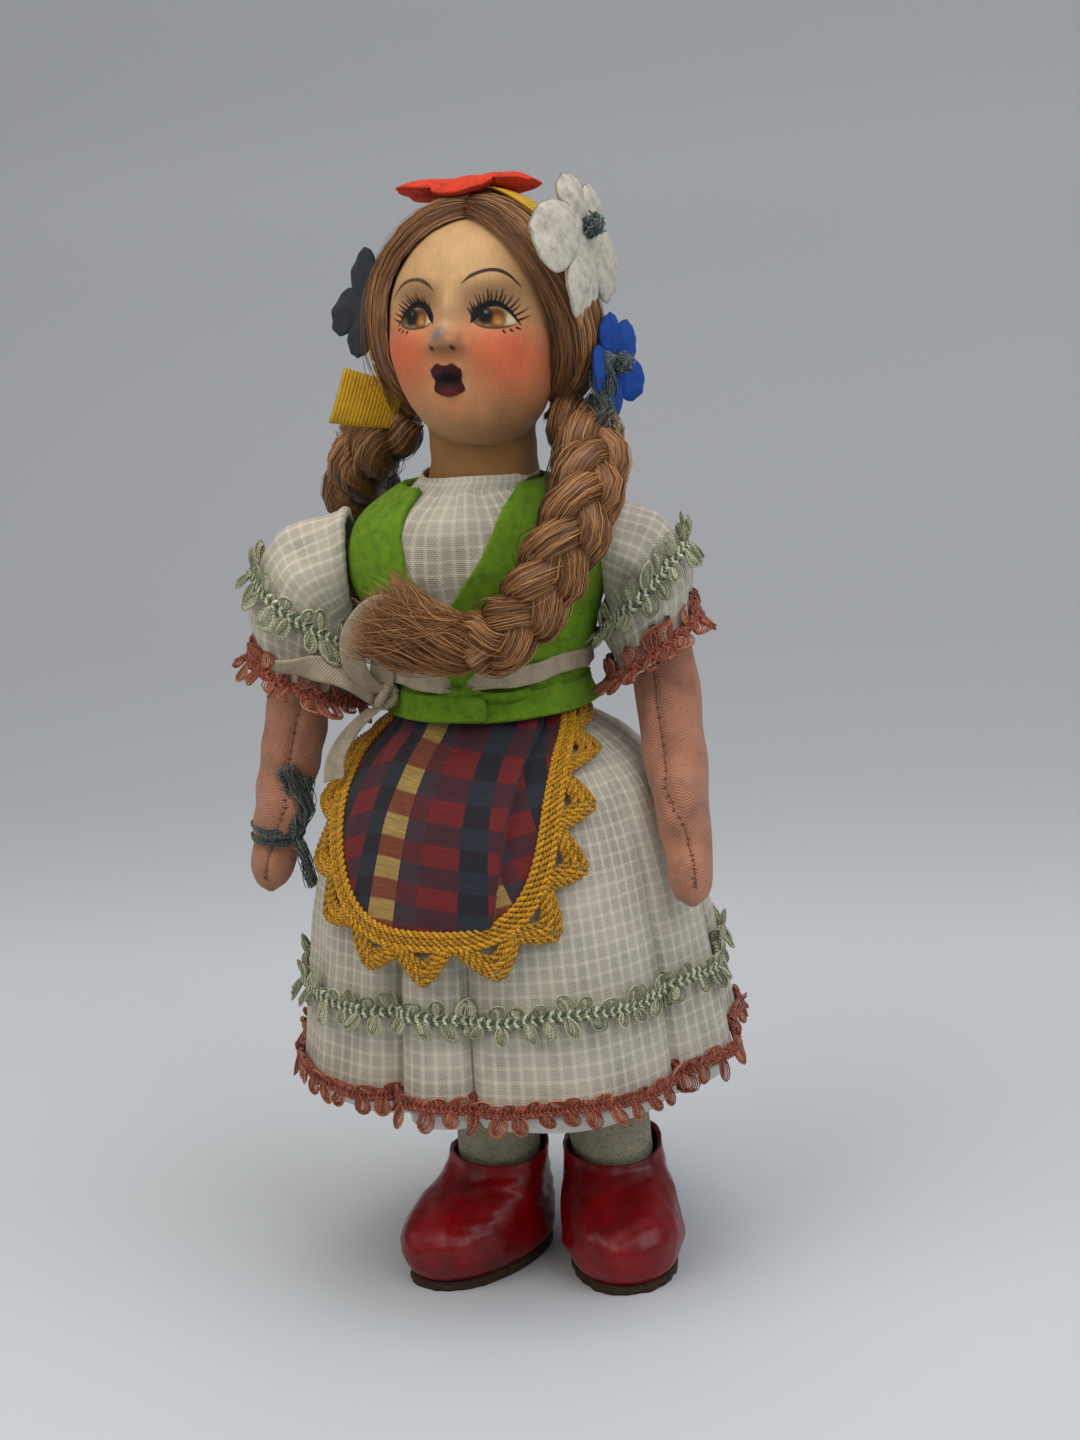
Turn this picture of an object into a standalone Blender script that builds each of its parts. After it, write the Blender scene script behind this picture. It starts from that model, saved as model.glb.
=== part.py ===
"""A small rag doll in folk dress: a sewn and stuffed cloth body, a painted cloth face mask, mohair hair
in two braids, felt flowers, a puffed blouse, a felt vest, a gathered skirt, an apron and moulded shoes.

Metres, +Z up. The doll stands on its shoes at Z = 0 and faces -Y, so its own left is at +X."""

import math

import bmesh
import bpy
import numpy as np
from mathutils import Euler, Matrix, Vector

# The gap that neighbouring pieces keep, so that no two solids touch
GAP = 0.0003

# Shoes and legs
SOLE_THICKNESS = 0.0016
SOLE_OVERHANG = 0.0006
SHOE_HEIGHT = 0.0180
SHOE_LENGTH = 0.0325
SHOE_WIDTH = 0.0212
SHOE_SOCKET_DEPTH = 0.0080
TOE_OUT_LEFT = math.radians(12)
TOE_OUT_RIGHT = math.radians(36)
ANKLE_RADIUS = 0.0074
THIGH_RADIUS = 0.0078
HIP_RADIUS = 0.0064
HIP_HEIGHT = 0.0770
HIP_SPACING = 0.0170
FOOT_SPACING = 0.0204
FOOT_SHIFT = 0.0050

# Stuffed body
TORSO_HEIGHT = 0.0560
CHEST_HALF_WIDTH = 0.0204
NECK_RADIUS = 0.0086
NECK_SHIFT = 0.0010

# Head, in its own frame: the face looks along -Y from the head's centre
HEAD_HALF_WIDTH = 0.0152
HEAD_HALF_DEPTH = 0.0145
HEAD_HALF_HEIGHT = 0.0183
HEAD_ABOVE_BODY = 0.0270
HEAD_FORWARD = 0.0010
HEAD_SHIFT = 0.0030
HEAD_TURN = math.radians(-12)
HEAD_TILT_BACK = math.radians(-16)
HEAD_LEAN = math.radians(1)
MASK_THICKNESS = 0.0008
NOSE_HEIGHT = 0.0026
HAIR_THICKNESS = 0.0030

# Braids and their brushed ends
BRAID_RADIUS = 0.0056
TASSEL_RADIUS = 0.0068
TASSEL_LENGTH = 0.0175

# Ribbons and felt
HEADBAND_WIDTH = 0.0095
HEADBAND_BACK = 0.0030
RIBBON_THICKNESS = 0.0005
FELT_THICKNESS = 0.0012
RED_FLOWER_RADIUS = 0.0114
WHITE_FLOWER_RADIUS = 0.0145
BLUE_FLOWER_RADIUS = 0.0094
GREY_FLOWER_RADIUS = 0.0092
BLUE_FLOWER_DROP = 0.0024
BLUE_FLOWER_STAND_OFF = 0.0010
FLOWER_CENTRE_RADIUS = 0.0024
WAIST_RIBBON_WIDTH = 0.0032
BOW_TURN = math.radians(208)
BOW_LOOP_HEIGHT = 0.0165

# Clothes
CLOTH_THICKNESS = 0.0005
VEST_THICKNESS = 0.0010
VEST_PEPLUM = 0.0052
SKIRT_HEM_HEIGHT = 0.0395
SKIRT_HALF_WIDTH = 0.0395
SKIRT_HALF_DEPTH = 0.0355
FOLD_DEPTH = 0.0042
FOLD_COUNT = 9
PETTICOAT_DROP = 0.0016
TRIM_WIDTH = 0.0044
TRIM_THICKNESS = 0.0010
GREEN_TRIM_ABOVE_HEM = 0.0150
APRON_HALF_WIDTH = 0.0188
APRON_LENGTH = 0.0365
APRON_CLEARANCE = 0.0006
APRON_DROP = 0.0010
APRON_TURN = -math.radians(108)
LACE_WIDTH = 0.0075
LACE_SCALLOPS = 15

# Arms and sleeves
ARM_LENGTH = 0.0582
ARM_RADIUS = 0.0055
HAND_RADIUS = 0.0041
SHOULDER_RADIUS = 0.0044
SLEEVE_RADIUS = 0.0096
SLEEVE_LENGTH = 0.0195
SLEEVE_OUT = 0.0088
SLEEVE_FORWARD = 0.0024
SLEEVE_TILT = math.radians(28)
ELBOW_OUT = 0.0075
HAND_OUT_LEFT = 0.0028
HAND_OUT_RIGHT = 0.0076
HAND_FORWARD_LEFT = 0.0195
HAND_FORWARD_RIGHT = 0.0020
YARN_RADIUS = 0.0009

# Rows of (share of the height, half-width and half-depth in shares of the chest's), bottom to top
TORSO_SHARES = ((0, 0.54, 0.36), (0.05, 0.68, 0.45), (0.20, 0.66, 0.46), (0.41, 0.57, 0.42),
                (0.58, 0.80, 0.54), (0.74, 1.0, 0.64), (0.88, 0.94, 0.62), (0.96, 0.66, 0.53),
                (1.0, 0.43, 0.42))
WAIST_SHARE = 0.41
SHOULDER_SHARE = 0.77
NECKLINE_SHARE = 0.985
VEST_V_SHARE = 0.66
# Rows of (share of the fall from waist to hem, share of the flare)
SKIRT_SHARES = ((0, 0), (0.09, 0.05), (0.17, 0.36), (0.30, 0.62), (0.55, 0.80), (1.0, 1.0))
# Rows of (share of the leg below the hip, share of the way from ankle to thigh radius)
LEG_SHARES = ((0.16, 0.7), (0.30, 1.0), (0.55, 0.75), (0.80, 0.1), (1.0, 0.0))
# Rows of (share of the shoe's height, heel share, toe share, width share) of its length and width
SHOE_SHARES = ((0.0, 0.29, 0.66, 0.86), (0.18, 0.31, 0.70, 0.98), (0.42, 0.30, 0.69, 1.0),
               (0.64, 0.28, 0.56, 0.94), (0.80, 0.27, 0.34, 0.86), (1.0, 0.26, 0.26, 0.84))
# Rows of (share of the arm, shares of the elbow's and hand's reach, of the forward reach and of the radius)
ARM_SHARES = ((0.0, 0.0, 0.0, 0.0, 0.5), (0.10, 0.35, 0.0, 0.02, 0.80), (0.30, 0.92, 0.03, 0.12, 0.98),
              (0.55, 1.0, 0.40, 0.40, 1.0), (0.76, 1.0, 0.72, 0.70, 0.86), (0.90, 1.0, 0.92, 0.90, 0.80),
              (0.98, 1.0, 1.0, 1.0, 0.45))
# Rows of (share of the sleeve, share of its way out, share of its way down, radius share)
SLEEVE_SHARES = ((0.0, 0.0, 0.0, 0.73), (0.12, 0.16, 0.02, 0.90), (0.35, 0.62, 0.20, 1.0),
                 (0.62, 0.92, 0.55, 1.0), (0.85, 1.0, 0.86, 0.88), (1.0, 1.0, 1.0, 1.0))
ARM_FLATNESS_SHARE = 0.80
# The shoulder's centre lies this share of its radius out from the armhole
SHOULDER_SEAT_SHARE = 0.29
# Rows of (degrees round from the back of the head, share of the way from the crown to the chin)
HAIRLINE_SHARES = ((0, 0.66), (60, 0.66), (110, 0.60), (138, 0.47), (158, 0.25), (180, 0.17))
# The power of the apron's superellipse, and its rows down, as shares of its length
APRON_POWER = 3.2
APRON_ROW_SHARES = (0, 0.07, 0.145, 0.29, 0.51, 0.72, 0.86, 0.95, 0.992)
# Bumps of the face: middle across and up, width and height, in shares of the head's half sizes, and rise
# as a share of the nose's: the nose, both cheeks, the chin and the mouth
FACE_BUMP_SHARES = ((0.0, -0.06, 0.13, 0.10, 1.0), (0.42, -0.34, 0.30, 0.24, 0.35),
                    (-0.42, -0.34, 0.30, 0.24, 0.35), (0.0, -0.80, 0.26, 0.16, 0.4),
                    (0.0, -0.50, 0.16, 0.10, 0.35))
# Routes of the bow's loop and tails from its knot, in shares of the loop's height
BOW_LOOP_SHARES = ((-0.05, -0.15, 0.10), (-0.22, -0.34, 0.50), (-0.14, -0.30, 0.98), (-0.02, -0.14, 0.62),
                   (-0.03, -0.05, 0.16))
UPPER_TAIL_SHARES = ((-0.18, -0.12, -0.02), (-0.45, -0.36, 0.28), (-0.78, -0.42, 0.42),
                     (-1.0, -0.42, 0.44))
LOWER_TAIL_SHARES = ((-0.10, -0.18, -0.14), (-0.32, -0.34, -0.26), (-0.50, -0.42, -0.56),
                     (-0.54, -0.42, -0.80))
# Routes of the headband's ends from the head, in shares of its width
LEFT_END_SHARES = ((0.0, 0.02, -0.12), (-0.12, 0.26, -0.47), (-0.34, 0.47, -0.9), (-0.48, 0.62, -1.4),
                   (-0.05, 0.6, -2.2))
RIGHT_END_SHARES = ((-0.05, 0, -0.10), (-0.35, -0.05, -0.40), (-0.85, -0.1, -0.75))
# Routes of the braids: across and back in shares of the chest's half-width, and up from the torso's top,
# in shares of the head's height over it, or down from there in shares of the torso's height
LEFT_BRAID_SHARES = ((0.685, -0.245, 0.48), (0.81, -0.615, 0.23), (0.93, -1.0, -0.03),
                     (0.785, -1.12, -0.20), (0.615, -1.08, -0.335), (0.39, -1.07, -0.415),
                     (0.125, -1.09, -0.41))
RIGHT_BRAID_SHARES = ((-0.54, 0.39, 0.445), (-0.88, 0.54, 0.30), (-1.125, 0.81, 0.01),
                      (-1.10, 1.055, -0.175), (-0.93, 1.15, -0.37), (-0.785, 1.15, -0.53))


def clear_scene():
    for obj in list(bpy.data.objects):
        bpy.data.objects.remove(obj, do_unlink=True)


def make_collection(name):
    collection = bpy.data.collections.new(name)
    bpy.context.scene.collection.children.link(collection)
    return collection


def linear(hex_colour):
    """The linear colour of an sRGB hex string."""
    srgb = np.array([int(hex_colour[i:i + 2], 16) for i in (1, 3, 5)]) / 255
    return [*np.where(srgb <= 0.04045, srgb / 12.92, ((srgb + 0.055) / 1.055) ** 2.4), 1]


def material(name, hex_colour, roughness, metallic=0.0):
    made = bpy.data.materials.new(name)
    made.use_nodes = True
    shader = made.node_tree.nodes["Principled BSDF"]
    shader.inputs["Base Color"].default_value = linear(hex_colour)
    shader.inputs["Roughness"].default_value = roughness
    shader.inputs["Metallic"].default_value = metallic
    made.diffuse_color = linear(hex_colour)
    return made


def add_object(name, data, finish, parent=None, location=(0, 0, 0), rotation=(0, 0, 0)):
    """An object of this mesh or curve in the doll's collection, with its material and its place."""
    obj = bpy.data.objects.new(name, data)
    DOLL.objects.link(obj)
    data.materials.append(finish)
    obj.location, obj.rotation_euler, obj.parent = location, rotation, parent
    return obj


def add_empty(name, location, rotation=(0, 0, 0)):
    empty = bpy.data.objects.new(name, None)
    DOLL.objects.link(empty)
    empty.location, empty.rotation_euler = location, rotation
    return empty


def make_cutter(obj):
    """Takes an object out of the doll, to be used only by a Boolean."""
    DOLL.objects.unlink(obj)
    CUTTERS.objects.link(obj)
    obj.hide_render = True
    obj.display_type = "WIRE"
    return obj


def boolean(obj, other, operation):
    modifier = obj.modifiers.new(operation.title(), "BOOLEAN")
    modifier.operation, modifier.solver, modifier.object = operation, "EXACT", other


def subdivide(obj, levels=1):
    modifier = obj.modifiers.new("Subdivision", "SUBSURF")
    modifier.levels = modifier.render_levels = levels


def thicken(obj, thickness, outward=False):
    modifier = obj.modifiers.new("Solidify", "SOLIDIFY")
    modifier.thickness = thickness
    modifier.offset = 1 if outward else -1
    modifier.use_even_offset = False


def smooth_line(points, count):
    """Points spaced evenly in parameter along a Catmull-Rom curve through the given points."""
    given = np.array(points, float)
    padded = np.vstack([2 * given[0] - given[1], given, 2 * given[-1] - given[-2]])
    t = np.linspace(0, len(given) - 1, count)
    i = np.minimum(t.astype(int), len(given) - 2)
    f = (t - i)[:, None]
    a, b, c, d = padded[i], padded[i + 1], padded[i + 2], padded[i + 3]
    return (2 * b + (c - a) * f + (2 * a - 5 * b + 4 * c - d) * f**2 + (3 * b - a - 3 * c + d) * f**3) / 2


def ring(half_width, half_depth, z, count, centre=(0, 0)):
    """An ellipse at one height, from +X round by the back, which is +Y."""
    turn = np.linspace(0, 2 * math.pi, count, endpoint=False)
    return np.stack([centre[0] + half_width * np.cos(turn), centre[1] + half_depth * np.sin(turn),
                     np.full(count, z)], axis=1)


def grid_mesh(name, rows, closed):
    """A sheet of quads over rows of points. Rows run down or outward, and points run round to the left."""
    mesh = bmesh.new()
    made = [[mesh.verts.new(point) for point in row] for row in rows]
    columns = len(made[0])
    for upper, lower in zip(made, made[1:]):
        for i in range(columns if closed else columns - 1):
            j = (i + 1) % columns
            mesh.faces.new((upper[i], lower[i], lower[j], upper[j]))
    data = bpy.data.meshes.new(name)
    mesh.to_mesh(data)
    mesh.free()
    data.shade_smooth()
    return data


def cloth(name, rows, finish, thickness, closed=True, outward=False, **place):
    """A sheet of cloth: an open grid given its thickness, inward unless told otherwise."""
    obj = add_object(name, grid_mesh(name, rows, closed), finish, **place)
    thicken(obj, thickness, outward)
    return obj


def loft(name, rings, finish, levels=0, flat_ends=False, **place):
    """A closed solid through rings that run downward, capped at both ends."""
    data = grid_mesh(name, rings, True)
    mesh = bmesh.new()
    mesh.from_mesh(data)
    mesh.verts.ensure_lookup_table()
    count = len(rings[0])
    top = mesh.faces.new(mesh.verts[:count])
    bottom = mesh.faces.new(mesh.verts[-count:][::-1])
    if flat_ends:
        crease = mesh.edges.layers.float.new("crease_edge")
        for edge in [*top.edges, *bottom.edges]:
            edge[crease] = 1
    mesh.to_mesh(data)
    mesh.free()
    data.shade_smooth()
    obj = add_object(name, data, finish, **place)
    if levels:
        subdivide(obj, levels)
    return obj


def turned(name, profile, finish, steps, **place):
    """A solid of revolution about Z, from a profile of (radius, height) that runs top to bottom."""
    data = bpy.data.meshes.new(name)
    edges = [(i, i + 1) for i in range(len(profile) - 1)]
    data.from_pydata([(radius, 0, z) for radius, z in profile], edges, [])
    obj = add_object(name, data, finish, **place)
    screw = obj.modifiers.new("Screw", "SCREW")
    screw.steps = screw.render_steps = steps
    screw.use_merge_vertices = True
    screw.merge_threshold = 0.00001
    screw.use_smooth_shade = True
    return obj


def tube(name, points, radii, finish, **place):
    """A round tube along a line of points, with a radius at each."""
    curve = bpy.data.curves.new(name, "CURVE")
    curve.dimensions = "3D"
    curve.bevel_depth = 1
    curve.bevel_resolution = 2
    curve.use_fill_caps = True
    spline = curve.splines.new("POLY")
    spline.points.add(len(points) - 1)
    for point, place_at, radius in zip(spline.points, points, radii):
        point.co = (*place_at, 1)
        point.radius = radius
    return add_object(name, curve, finish, **place)


def as_mesh(obj):
    """The same object as a welded mesh, which a Boolean can cut."""
    bpy.context.view_layer.update()
    graph = bpy.context.evaluated_depsgraph_get()
    data = bpy.data.meshes.new_from_object(obj.evaluated_get(graph))
    mesh = bmesh.new()
    mesh.from_mesh(data)
    bmesh.ops.remove_doubles(mesh, verts=mesh.verts, dist=GAP / 100)
    mesh.to_mesh(data)
    mesh.free()
    name, place, finish = obj.name, obj.matrix_world.copy(), obj.data.materials[0]
    bpy.data.objects.remove(obj, do_unlink=True)
    data.materials.clear()
    made = add_object(name, data, finish)
    made.matrix_world = place
    data.shade_smooth()
    return made


def ellipsoid(name, half_sizes, finish, segments=20, rings=12, **place):
    mesh = bmesh.new()
    bmesh.ops.create_uvsphere(mesh, u_segments=segments, v_segments=rings, radius=1)
    bmesh.ops.scale(mesh, vec=Vector(half_sizes), verts=mesh.verts)
    data = bpy.data.meshes.new(name)
    mesh.to_mesh(data)
    mesh.free()
    data.shade_smooth()
    return add_object(name, data, finish, **place)


def felt_shape(name, outline, finish, **place):
    """A flat piece cut from felt: a closed outline filled on both sides and given the felt's thickness."""
    curve = bpy.data.curves.new(name, "CURVE")
    curve.dimensions = "2D"
    curve.fill_mode = "BOTH"
    curve.extrude = FELT_THICKNESS / 2
    spline = curve.splines.new("POLY")
    spline.points.add(len(outline) - 1)
    for point, (x, y) in zip(spline.points, outline):
        point.co = (x, y, 0, 1)
    spline.use_cyclic_u = True
    return add_object(name, curve, finish, **place)


def petals(radius, count=5):
    """The outline of a flower with round petals, drawn in between them."""
    turn = np.linspace(0, 2 * math.pi, count * 8, endpoint=False)
    reach = radius * (0.50 + 0.50 * np.abs(np.sin(turn * count / 2)) ** 0.55)
    return np.stack([reach * np.cos(turn), reach * np.sin(turn)], axis=1)


# Heights and half-widths that the pieces share
TORSO_BOTTOM = HIP_HEIGHT + HIP_RADIUS + GAP
TORSO_TOP = TORSO_BOTTOM + TORSO_HEIGHT
WAIST_HEIGHT = TORSO_BOTTOM + TORSO_HEIGHT * WAIST_SHARE
SHOULDER_HEIGHT = TORSO_BOTTOM + TORSO_HEIGHT * SHOULDER_SHARE
NECKLINE_HEIGHT = TORSO_BOTTOM + TORSO_HEIGHT * NECKLINE_SHARE
VEST_V_HEIGHT = TORSO_BOTTOM + TORSO_HEIGHT * VEST_V_SHARE
TORSO_LINE = smooth_line(TORSO_SHARES, 60)

LAYER = CLOTH_THICKNESS + GAP
SKIRT_OUT = GAP + LAYER + LAYER
APRON_OUT = SKIRT_OUT + LAYER + APRON_CLEARANCE
VEST_OUT = APRON_OUT + VEST_THICKNESS + GAP
BLOUSE_OUT = GAP + CLOTH_THICKNESS
VEST_OVER_BLOUSE = BLOUSE_OUT + 2 * GAP + VEST_THICKNESS
VEST_SIDE = CHEST_HALF_WIDTH + VEST_OVER_BLOUSE
HAIR_OUT = 2 * GAP + HAIR_THICKNESS
BAND_OUT = HAIR_OUT + GAP + RIBBON_THICKNESS
ARMHOLE_X = VEST_SIDE + GAP
SHOULDER_X = ARMHOLE_X + SHOULDER_RADIUS * SHOULDER_SEAT_SHARE


def torso_halves(z):
    """The torso's half-width and half-depth at a height."""
    heights = TORSO_BOTTOM + TORSO_HEIGHT * TORSO_LINE[:, 0]
    return [np.interp(z, heights, CHEST_HALF_WIDTH * TORSO_LINE[:, k]) for k in (1, 2)]


def dressed_halves(z, out):
    """Half-width, half-depth and height of a layer outside the torso or, below the waist, the skirt."""
    if z < WAIST_HEIGHT:
        fall = skirt_fall(z)
        return (skirt_surface(0, fall, out - SKIRT_OUT, 0)[0],
                skirt_surface(math.pi / 2, fall, out - SKIRT_OUT, 0)[1], z)
    wide, deep = torso_halves(z)
    slope = (torso_halves(z + GAP)[0] - torso_halves(z - GAP)[0]) / (2 * GAP)
    level = 1 / math.hypot(1, slope)
    return wide + out * level, deep + out * level, z - out * level * slope


def torso_ring(z, out, count):
    """A loop round the torso at one height, this far outside it."""
    wide, deep, high = dressed_halves(z, out)
    return ring(wide, deep, high, count)


def skirt_surface(turn, fall, out=0.0, folds=1.0):
    """Points of the skirt's outer side: turn goes round it, fall from 0 at the waist to 1 at the hem.

    The half-width runs along a flared profile, and the folds draw it in between rounded lobes."""
    turn, fall = np.broadcast_arrays(np.asarray(turn, float), np.asarray(fall, float))
    line = smooth_line(SKIRT_SHARES, 50)
    flare = np.interp(fall, line[:, 0], line[:, 1])
    waist_width, waist_depth = (half + SKIRT_OUT for half in torso_halves(WAIST_HEIGHT))
    lobes = np.abs(np.sin((turn * FOLD_COUNT + np.sin(2 * turn)) / 2)) ** 0.8
    drawn = folds * FOLD_DEPTH * fall * (1 - lobes)
    width = waist_width + (SKIRT_HALF_WIDTH - waist_width) * flare + out - drawn
    depth = waist_depth + (SKIRT_HALF_DEPTH - waist_depth) * flare + out - drawn
    z = WAIST_HEIGHT + (SKIRT_HEM_HEIGHT - WAIST_HEIGHT) * fall
    return np.stack([width * np.cos(turn), depth * np.sin(turn), z], axis=-1)


def skirt_fall(z):
    return (WAIST_HEIGHT - z) / (WAIST_HEIGHT - SKIRT_HEM_HEIGHT)


def build_torso():
    heights = TORSO_BOTTOM + TORSO_HEIGHT * smooth_line(TORSO_SHARES, 21)[::-1, 0]
    loft("torso", [ring(*torso_halves(z), z, 18) for z in heights], COTTON)


def build_leg(side, name, toe_out):
    """One leg with its shoe and sole, hung from the hip so that it can swing about X."""
    hip = Vector((side * HIP_SPACING / 2, 0, HIP_HEIGHT))
    ankle_x = side * FOOT_SPACING / 2 + FOOT_SHIFT
    shoe_top = SOLE_THICKNESS + GAP + SHOE_HEIGHT
    leg_length = HIP_HEIGHT - shoe_top + SHOE_SOCKET_DEPTH
    lean = -math.asin((ankle_x - hip.x) / leg_length)
    pivot = add_empty(name + "_hip_pivot", hip)
    profile = [(HIP_RADIUS * math.sin(turn), HIP_RADIUS * math.cos(turn))
               for turn in np.linspace(0, math.radians(100), 7)]
    profile += [(ANKLE_RADIUS + (THIGH_RADIUS - ANKLE_RADIUS) * wide, -leg_length * down)
                for down, wide in LEG_SHARES]
    profile.append((0, -leg_length))
    turned(name + "_leg", profile, STOCKINET, 16, parent=pivot, rotation=(0, lean, 0))

    sections = []
    for high, heel, toe, wide in SHOE_SHARES[::-1]:
        turn = np.linspace(0, 2 * math.pi, 12, endpoint=False)
        front, back = SHOE_LENGTH * toe, SHOE_LENGTH * heel
        along = (back - front) / 2 + (back + front) / 2 * np.sin(turn)
        across = SHOE_WIDTH * wide / 2 * np.cos(turn) * (1 + 0.10 * (toe - heel) * -np.sin(turn))
        sections.append(np.stack([across, along, np.full(12, SHOE_HEIGHT * high)], axis=1))
    stand = Vector((ankle_x - hip.x, 0, SOLE_THICKNESS + GAP - HIP_HEIGHT))
    turn_out = (0, 0, side * toe_out)
    shoe = loft(name + "_shoe", sections, RED_LEATHER, levels=1, flat_ends=True, parent=pivot,
                location=stand, rotation=turn_out)
    over = 2 * SHOE_SOCKET_DEPTH
    socket = turned(name + "_socket_cutter",
                    [(0, over - leg_length), (ANKLE_RADIUS + GAP, over - leg_length),
                     (ANKLE_RADIUS + GAP, -leg_length - GAP), (0, -leg_length - GAP)],
                    RED_LEATHER, 16, parent=pivot, rotation=(0, lean, 0))
    boolean(shoe, make_cutter(socket), "DIFFERENCE")

    foot = sections[-1]
    spread = foot * np.array([1 + 2 * SOLE_OVERHANG / SHOE_WIDTH, 1 + 2 * SOLE_OVERHANG / SHOE_LENGTH, 0])
    outline = smooth_line(np.vstack([spread, spread[:1]]), 33)[:-1]
    loft(name + "_sole", [outline, outline - np.array([0, 0, SOLE_THICKNESS])], SOLE_LEATHER, parent=pivot,
         location=stand - Vector((0, 0, GAP)), rotation=turn_out)


def arm_line(side, hand, rows):
    """Centres and radii along the arm, from the shoulder's pivot. hand is its way out and forward."""
    line = smooth_line(rows, 9)
    reach = ELBOW_OUT * line[:, 1] + hand[0] * line[:, 2]
    centres = np.stack([side * reach, -hand[1] * line[:, 3], -ARM_LENGTH * line[:, 0]], axis=1)
    full = np.interp(line[:, 0], (0, 0.3, 0.6, 0.85),
                     (SHOULDER_RADIUS, ARM_RADIUS, ARM_RADIUS, HAND_RADIUS / 0.86))
    return centres, full * line[:, 4]


def rings_along(centres, widths, depths, count):
    """Rings square to a line of centres. widths lie across, depths to the front and back."""
    tangents = np.gradient(centres, axis=0)
    tangents /= np.linalg.norm(tangents, axis=1)[:, None]
    rings = []
    for centre, tangent, wide, deep in zip(centres, tangents, widths, depths):
        across = np.cross((0, 1, 0), tangent)
        across /= np.linalg.norm(across)
        front = np.cross(tangent, across)
        turn = np.linspace(0, 2 * math.pi, count, endpoint=False)[:, None]
        rings.append(centre - wide * np.cos(turn) * across + deep * np.sin(turn) * front)
    return rings


def build_arm(side, name, reach):
    """One stuffed arm with its sewn thumb, hung from the shoulder so that it can swing about X."""
    pivot = add_empty(name + "_shoulder_pivot", (side * SHOULDER_X, 0, SHOULDER_HEIGHT))
    centres, radii = arm_line(side, reach, ARM_SHARES)
    rings = rings_along(centres, radii, radii * ARM_FLATNESS_SHARE, 8)
    arm = loft(name + "_arm", rings, STOCKINET_PINK, levels=1, parent=pivot)
    hand = centres[6]
    thumb = ellipsoid(name + "_thumb_form", (HAND_RADIUS * 0.62, HAND_RADIUS * 0.62, HAND_RADIUS * 1.15),
                      STOCKINET_PINK, 10, 6, parent=pivot,
                      location=(hand[0] - side * HAND_RADIUS * 0.75, hand[1] - HAND_RADIUS * 0.35, hand[2]),
                      rotation=(0, side * math.radians(-14), 0))
    boolean(arm, make_cutter(thumb), "UNION")
    return pivot


def sleeve_surface(side, along, out=0.0, count=16):
    """A ring of the puffed sleeve at each share along it, from the armhole down to the gathered edge."""
    line = smooth_line(SLEEVE_SHARES, 41)
    reach, drop, wide = (np.interp(along, line[:, 0], line[:, k]) for k in (1, 2, 3))
    shares = np.stack([reach, drop], axis=1)
    centres = np.stack([side * (ARMHOLE_X + SLEEVE_OUT * shares[:, 0]), -SLEEVE_FORWARD * shares[:, 1],
                        SHOULDER_HEIGHT - SLEEVE_LENGTH * shares[:, 1]], axis=1)
    lean = np.interp(along, (0, 0.62), (0, math.pi / 2 - SLEEVE_TILT))
    turn = np.linspace(0, 2 * math.pi, count, endpoint=False)
    rows = []
    for centre, angle, share in zip(centres, lean, wide):
        radius = SLEEVE_RADIUS * share + out
        up = np.array([math.sin(angle) * side, 0, math.cos(angle)])
        deep = np.array([0, side, 0])
        rows.append(centre + radius * (np.cos(turn)[:, None] * up + np.sin(turn)[:, None] * deep))
    return rows


def build_sleeve(side, name, shoulder):
    place = {"parent": shoulder, "location": -shoulder.location}
    rows = sleeve_surface(side, np.array([0, 0.10, 0.25, 0.42, 0.6, 0.78, 0.9, 1.0]))
    cloth(name + "_sleeve", rows, DIMITY, CLOTH_THICKNESS, **place)
    half = TRIM_WIDTH / SLEEVE_LENGTH / 2
    for trim, middle, finish in (("green", 0.56, GREEN_GIMP), ("coral", 1 - half, CORAL_GIMP)):
        rows = sleeve_surface(side, np.linspace(middle - half, middle + half, 3), GAP)
        cloth(f"{name}_sleeve_{trim}_trim", rows, finish, TRIM_THICKNESS, outward=True, **place)


def build_wrist_yarn(side, reach, shoulder):
    """A turn of wool yarn round the wrist, tied with an open end."""
    centres, radii = arm_line(side, reach, ARM_SHARES)
    out = radii + YARN_RADIUS + GAP
    line = rings_along(centres, out, out * ARM_FLATNESS_SHARE + YARN_RADIUS, 18)[5]
    tube("wrist_yarn", line, np.full(18, YARN_RADIUS), GREEN_WOOL, parent=shoulder)


def build_blouse():
    heights = np.linspace(WAIST_HEIGHT + LAYER * 3, NECKLINE_HEIGHT, 15)[::-1]
    rows = [torso_ring(z, BLOUSE_OUT, 24) for z in heights]
    collar = NECK_RADIUS + BLOUSE_OUT + GAP
    neck = ring(collar, collar, TORSO_TOP + LAYER + LAYER, 24, (NECK_SHIFT, 0))
    cloth("blouse", [neck, *rows], DIMITY, CLOTH_THICKNESS)


def vest_halves(z, out=0.0):
    """Half-width, half-depth and height of the vest's outer side."""
    base = np.interp(z, (WAIST_HEIGHT, VEST_V_HEIGHT), (VEST_OUT, VEST_OVER_BLOUSE))
    return dressed_halves(z, base + out)


def build_vest():
    """The felt vest, open in a V above its front and flared in a peplum under the waist."""
    rows = []
    for z in np.linspace(NECKLINE_HEIGHT - GAP, WAIST_HEIGHT - VEST_PEPLUM, 12):
        wide, deep, high = vest_halves(z)
        opening = np.interp(z, (VEST_V_HEIGHT, NECKLINE_HEIGHT), (GAP, NECK_RADIUS + BLOUSE_OUT))
        half = math.asin(min(1.0, opening / wide))
        turn = np.linspace(-math.pi / 2 + half, 1.5 * math.pi - half, 25)
        rows.append(np.stack([wide * np.cos(turn), deep * np.sin(turn), np.full(25, high)], axis=1))
    cloth("vest", rows, GREEN_FELT, VEST_THICKNESS, closed=False)


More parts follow.
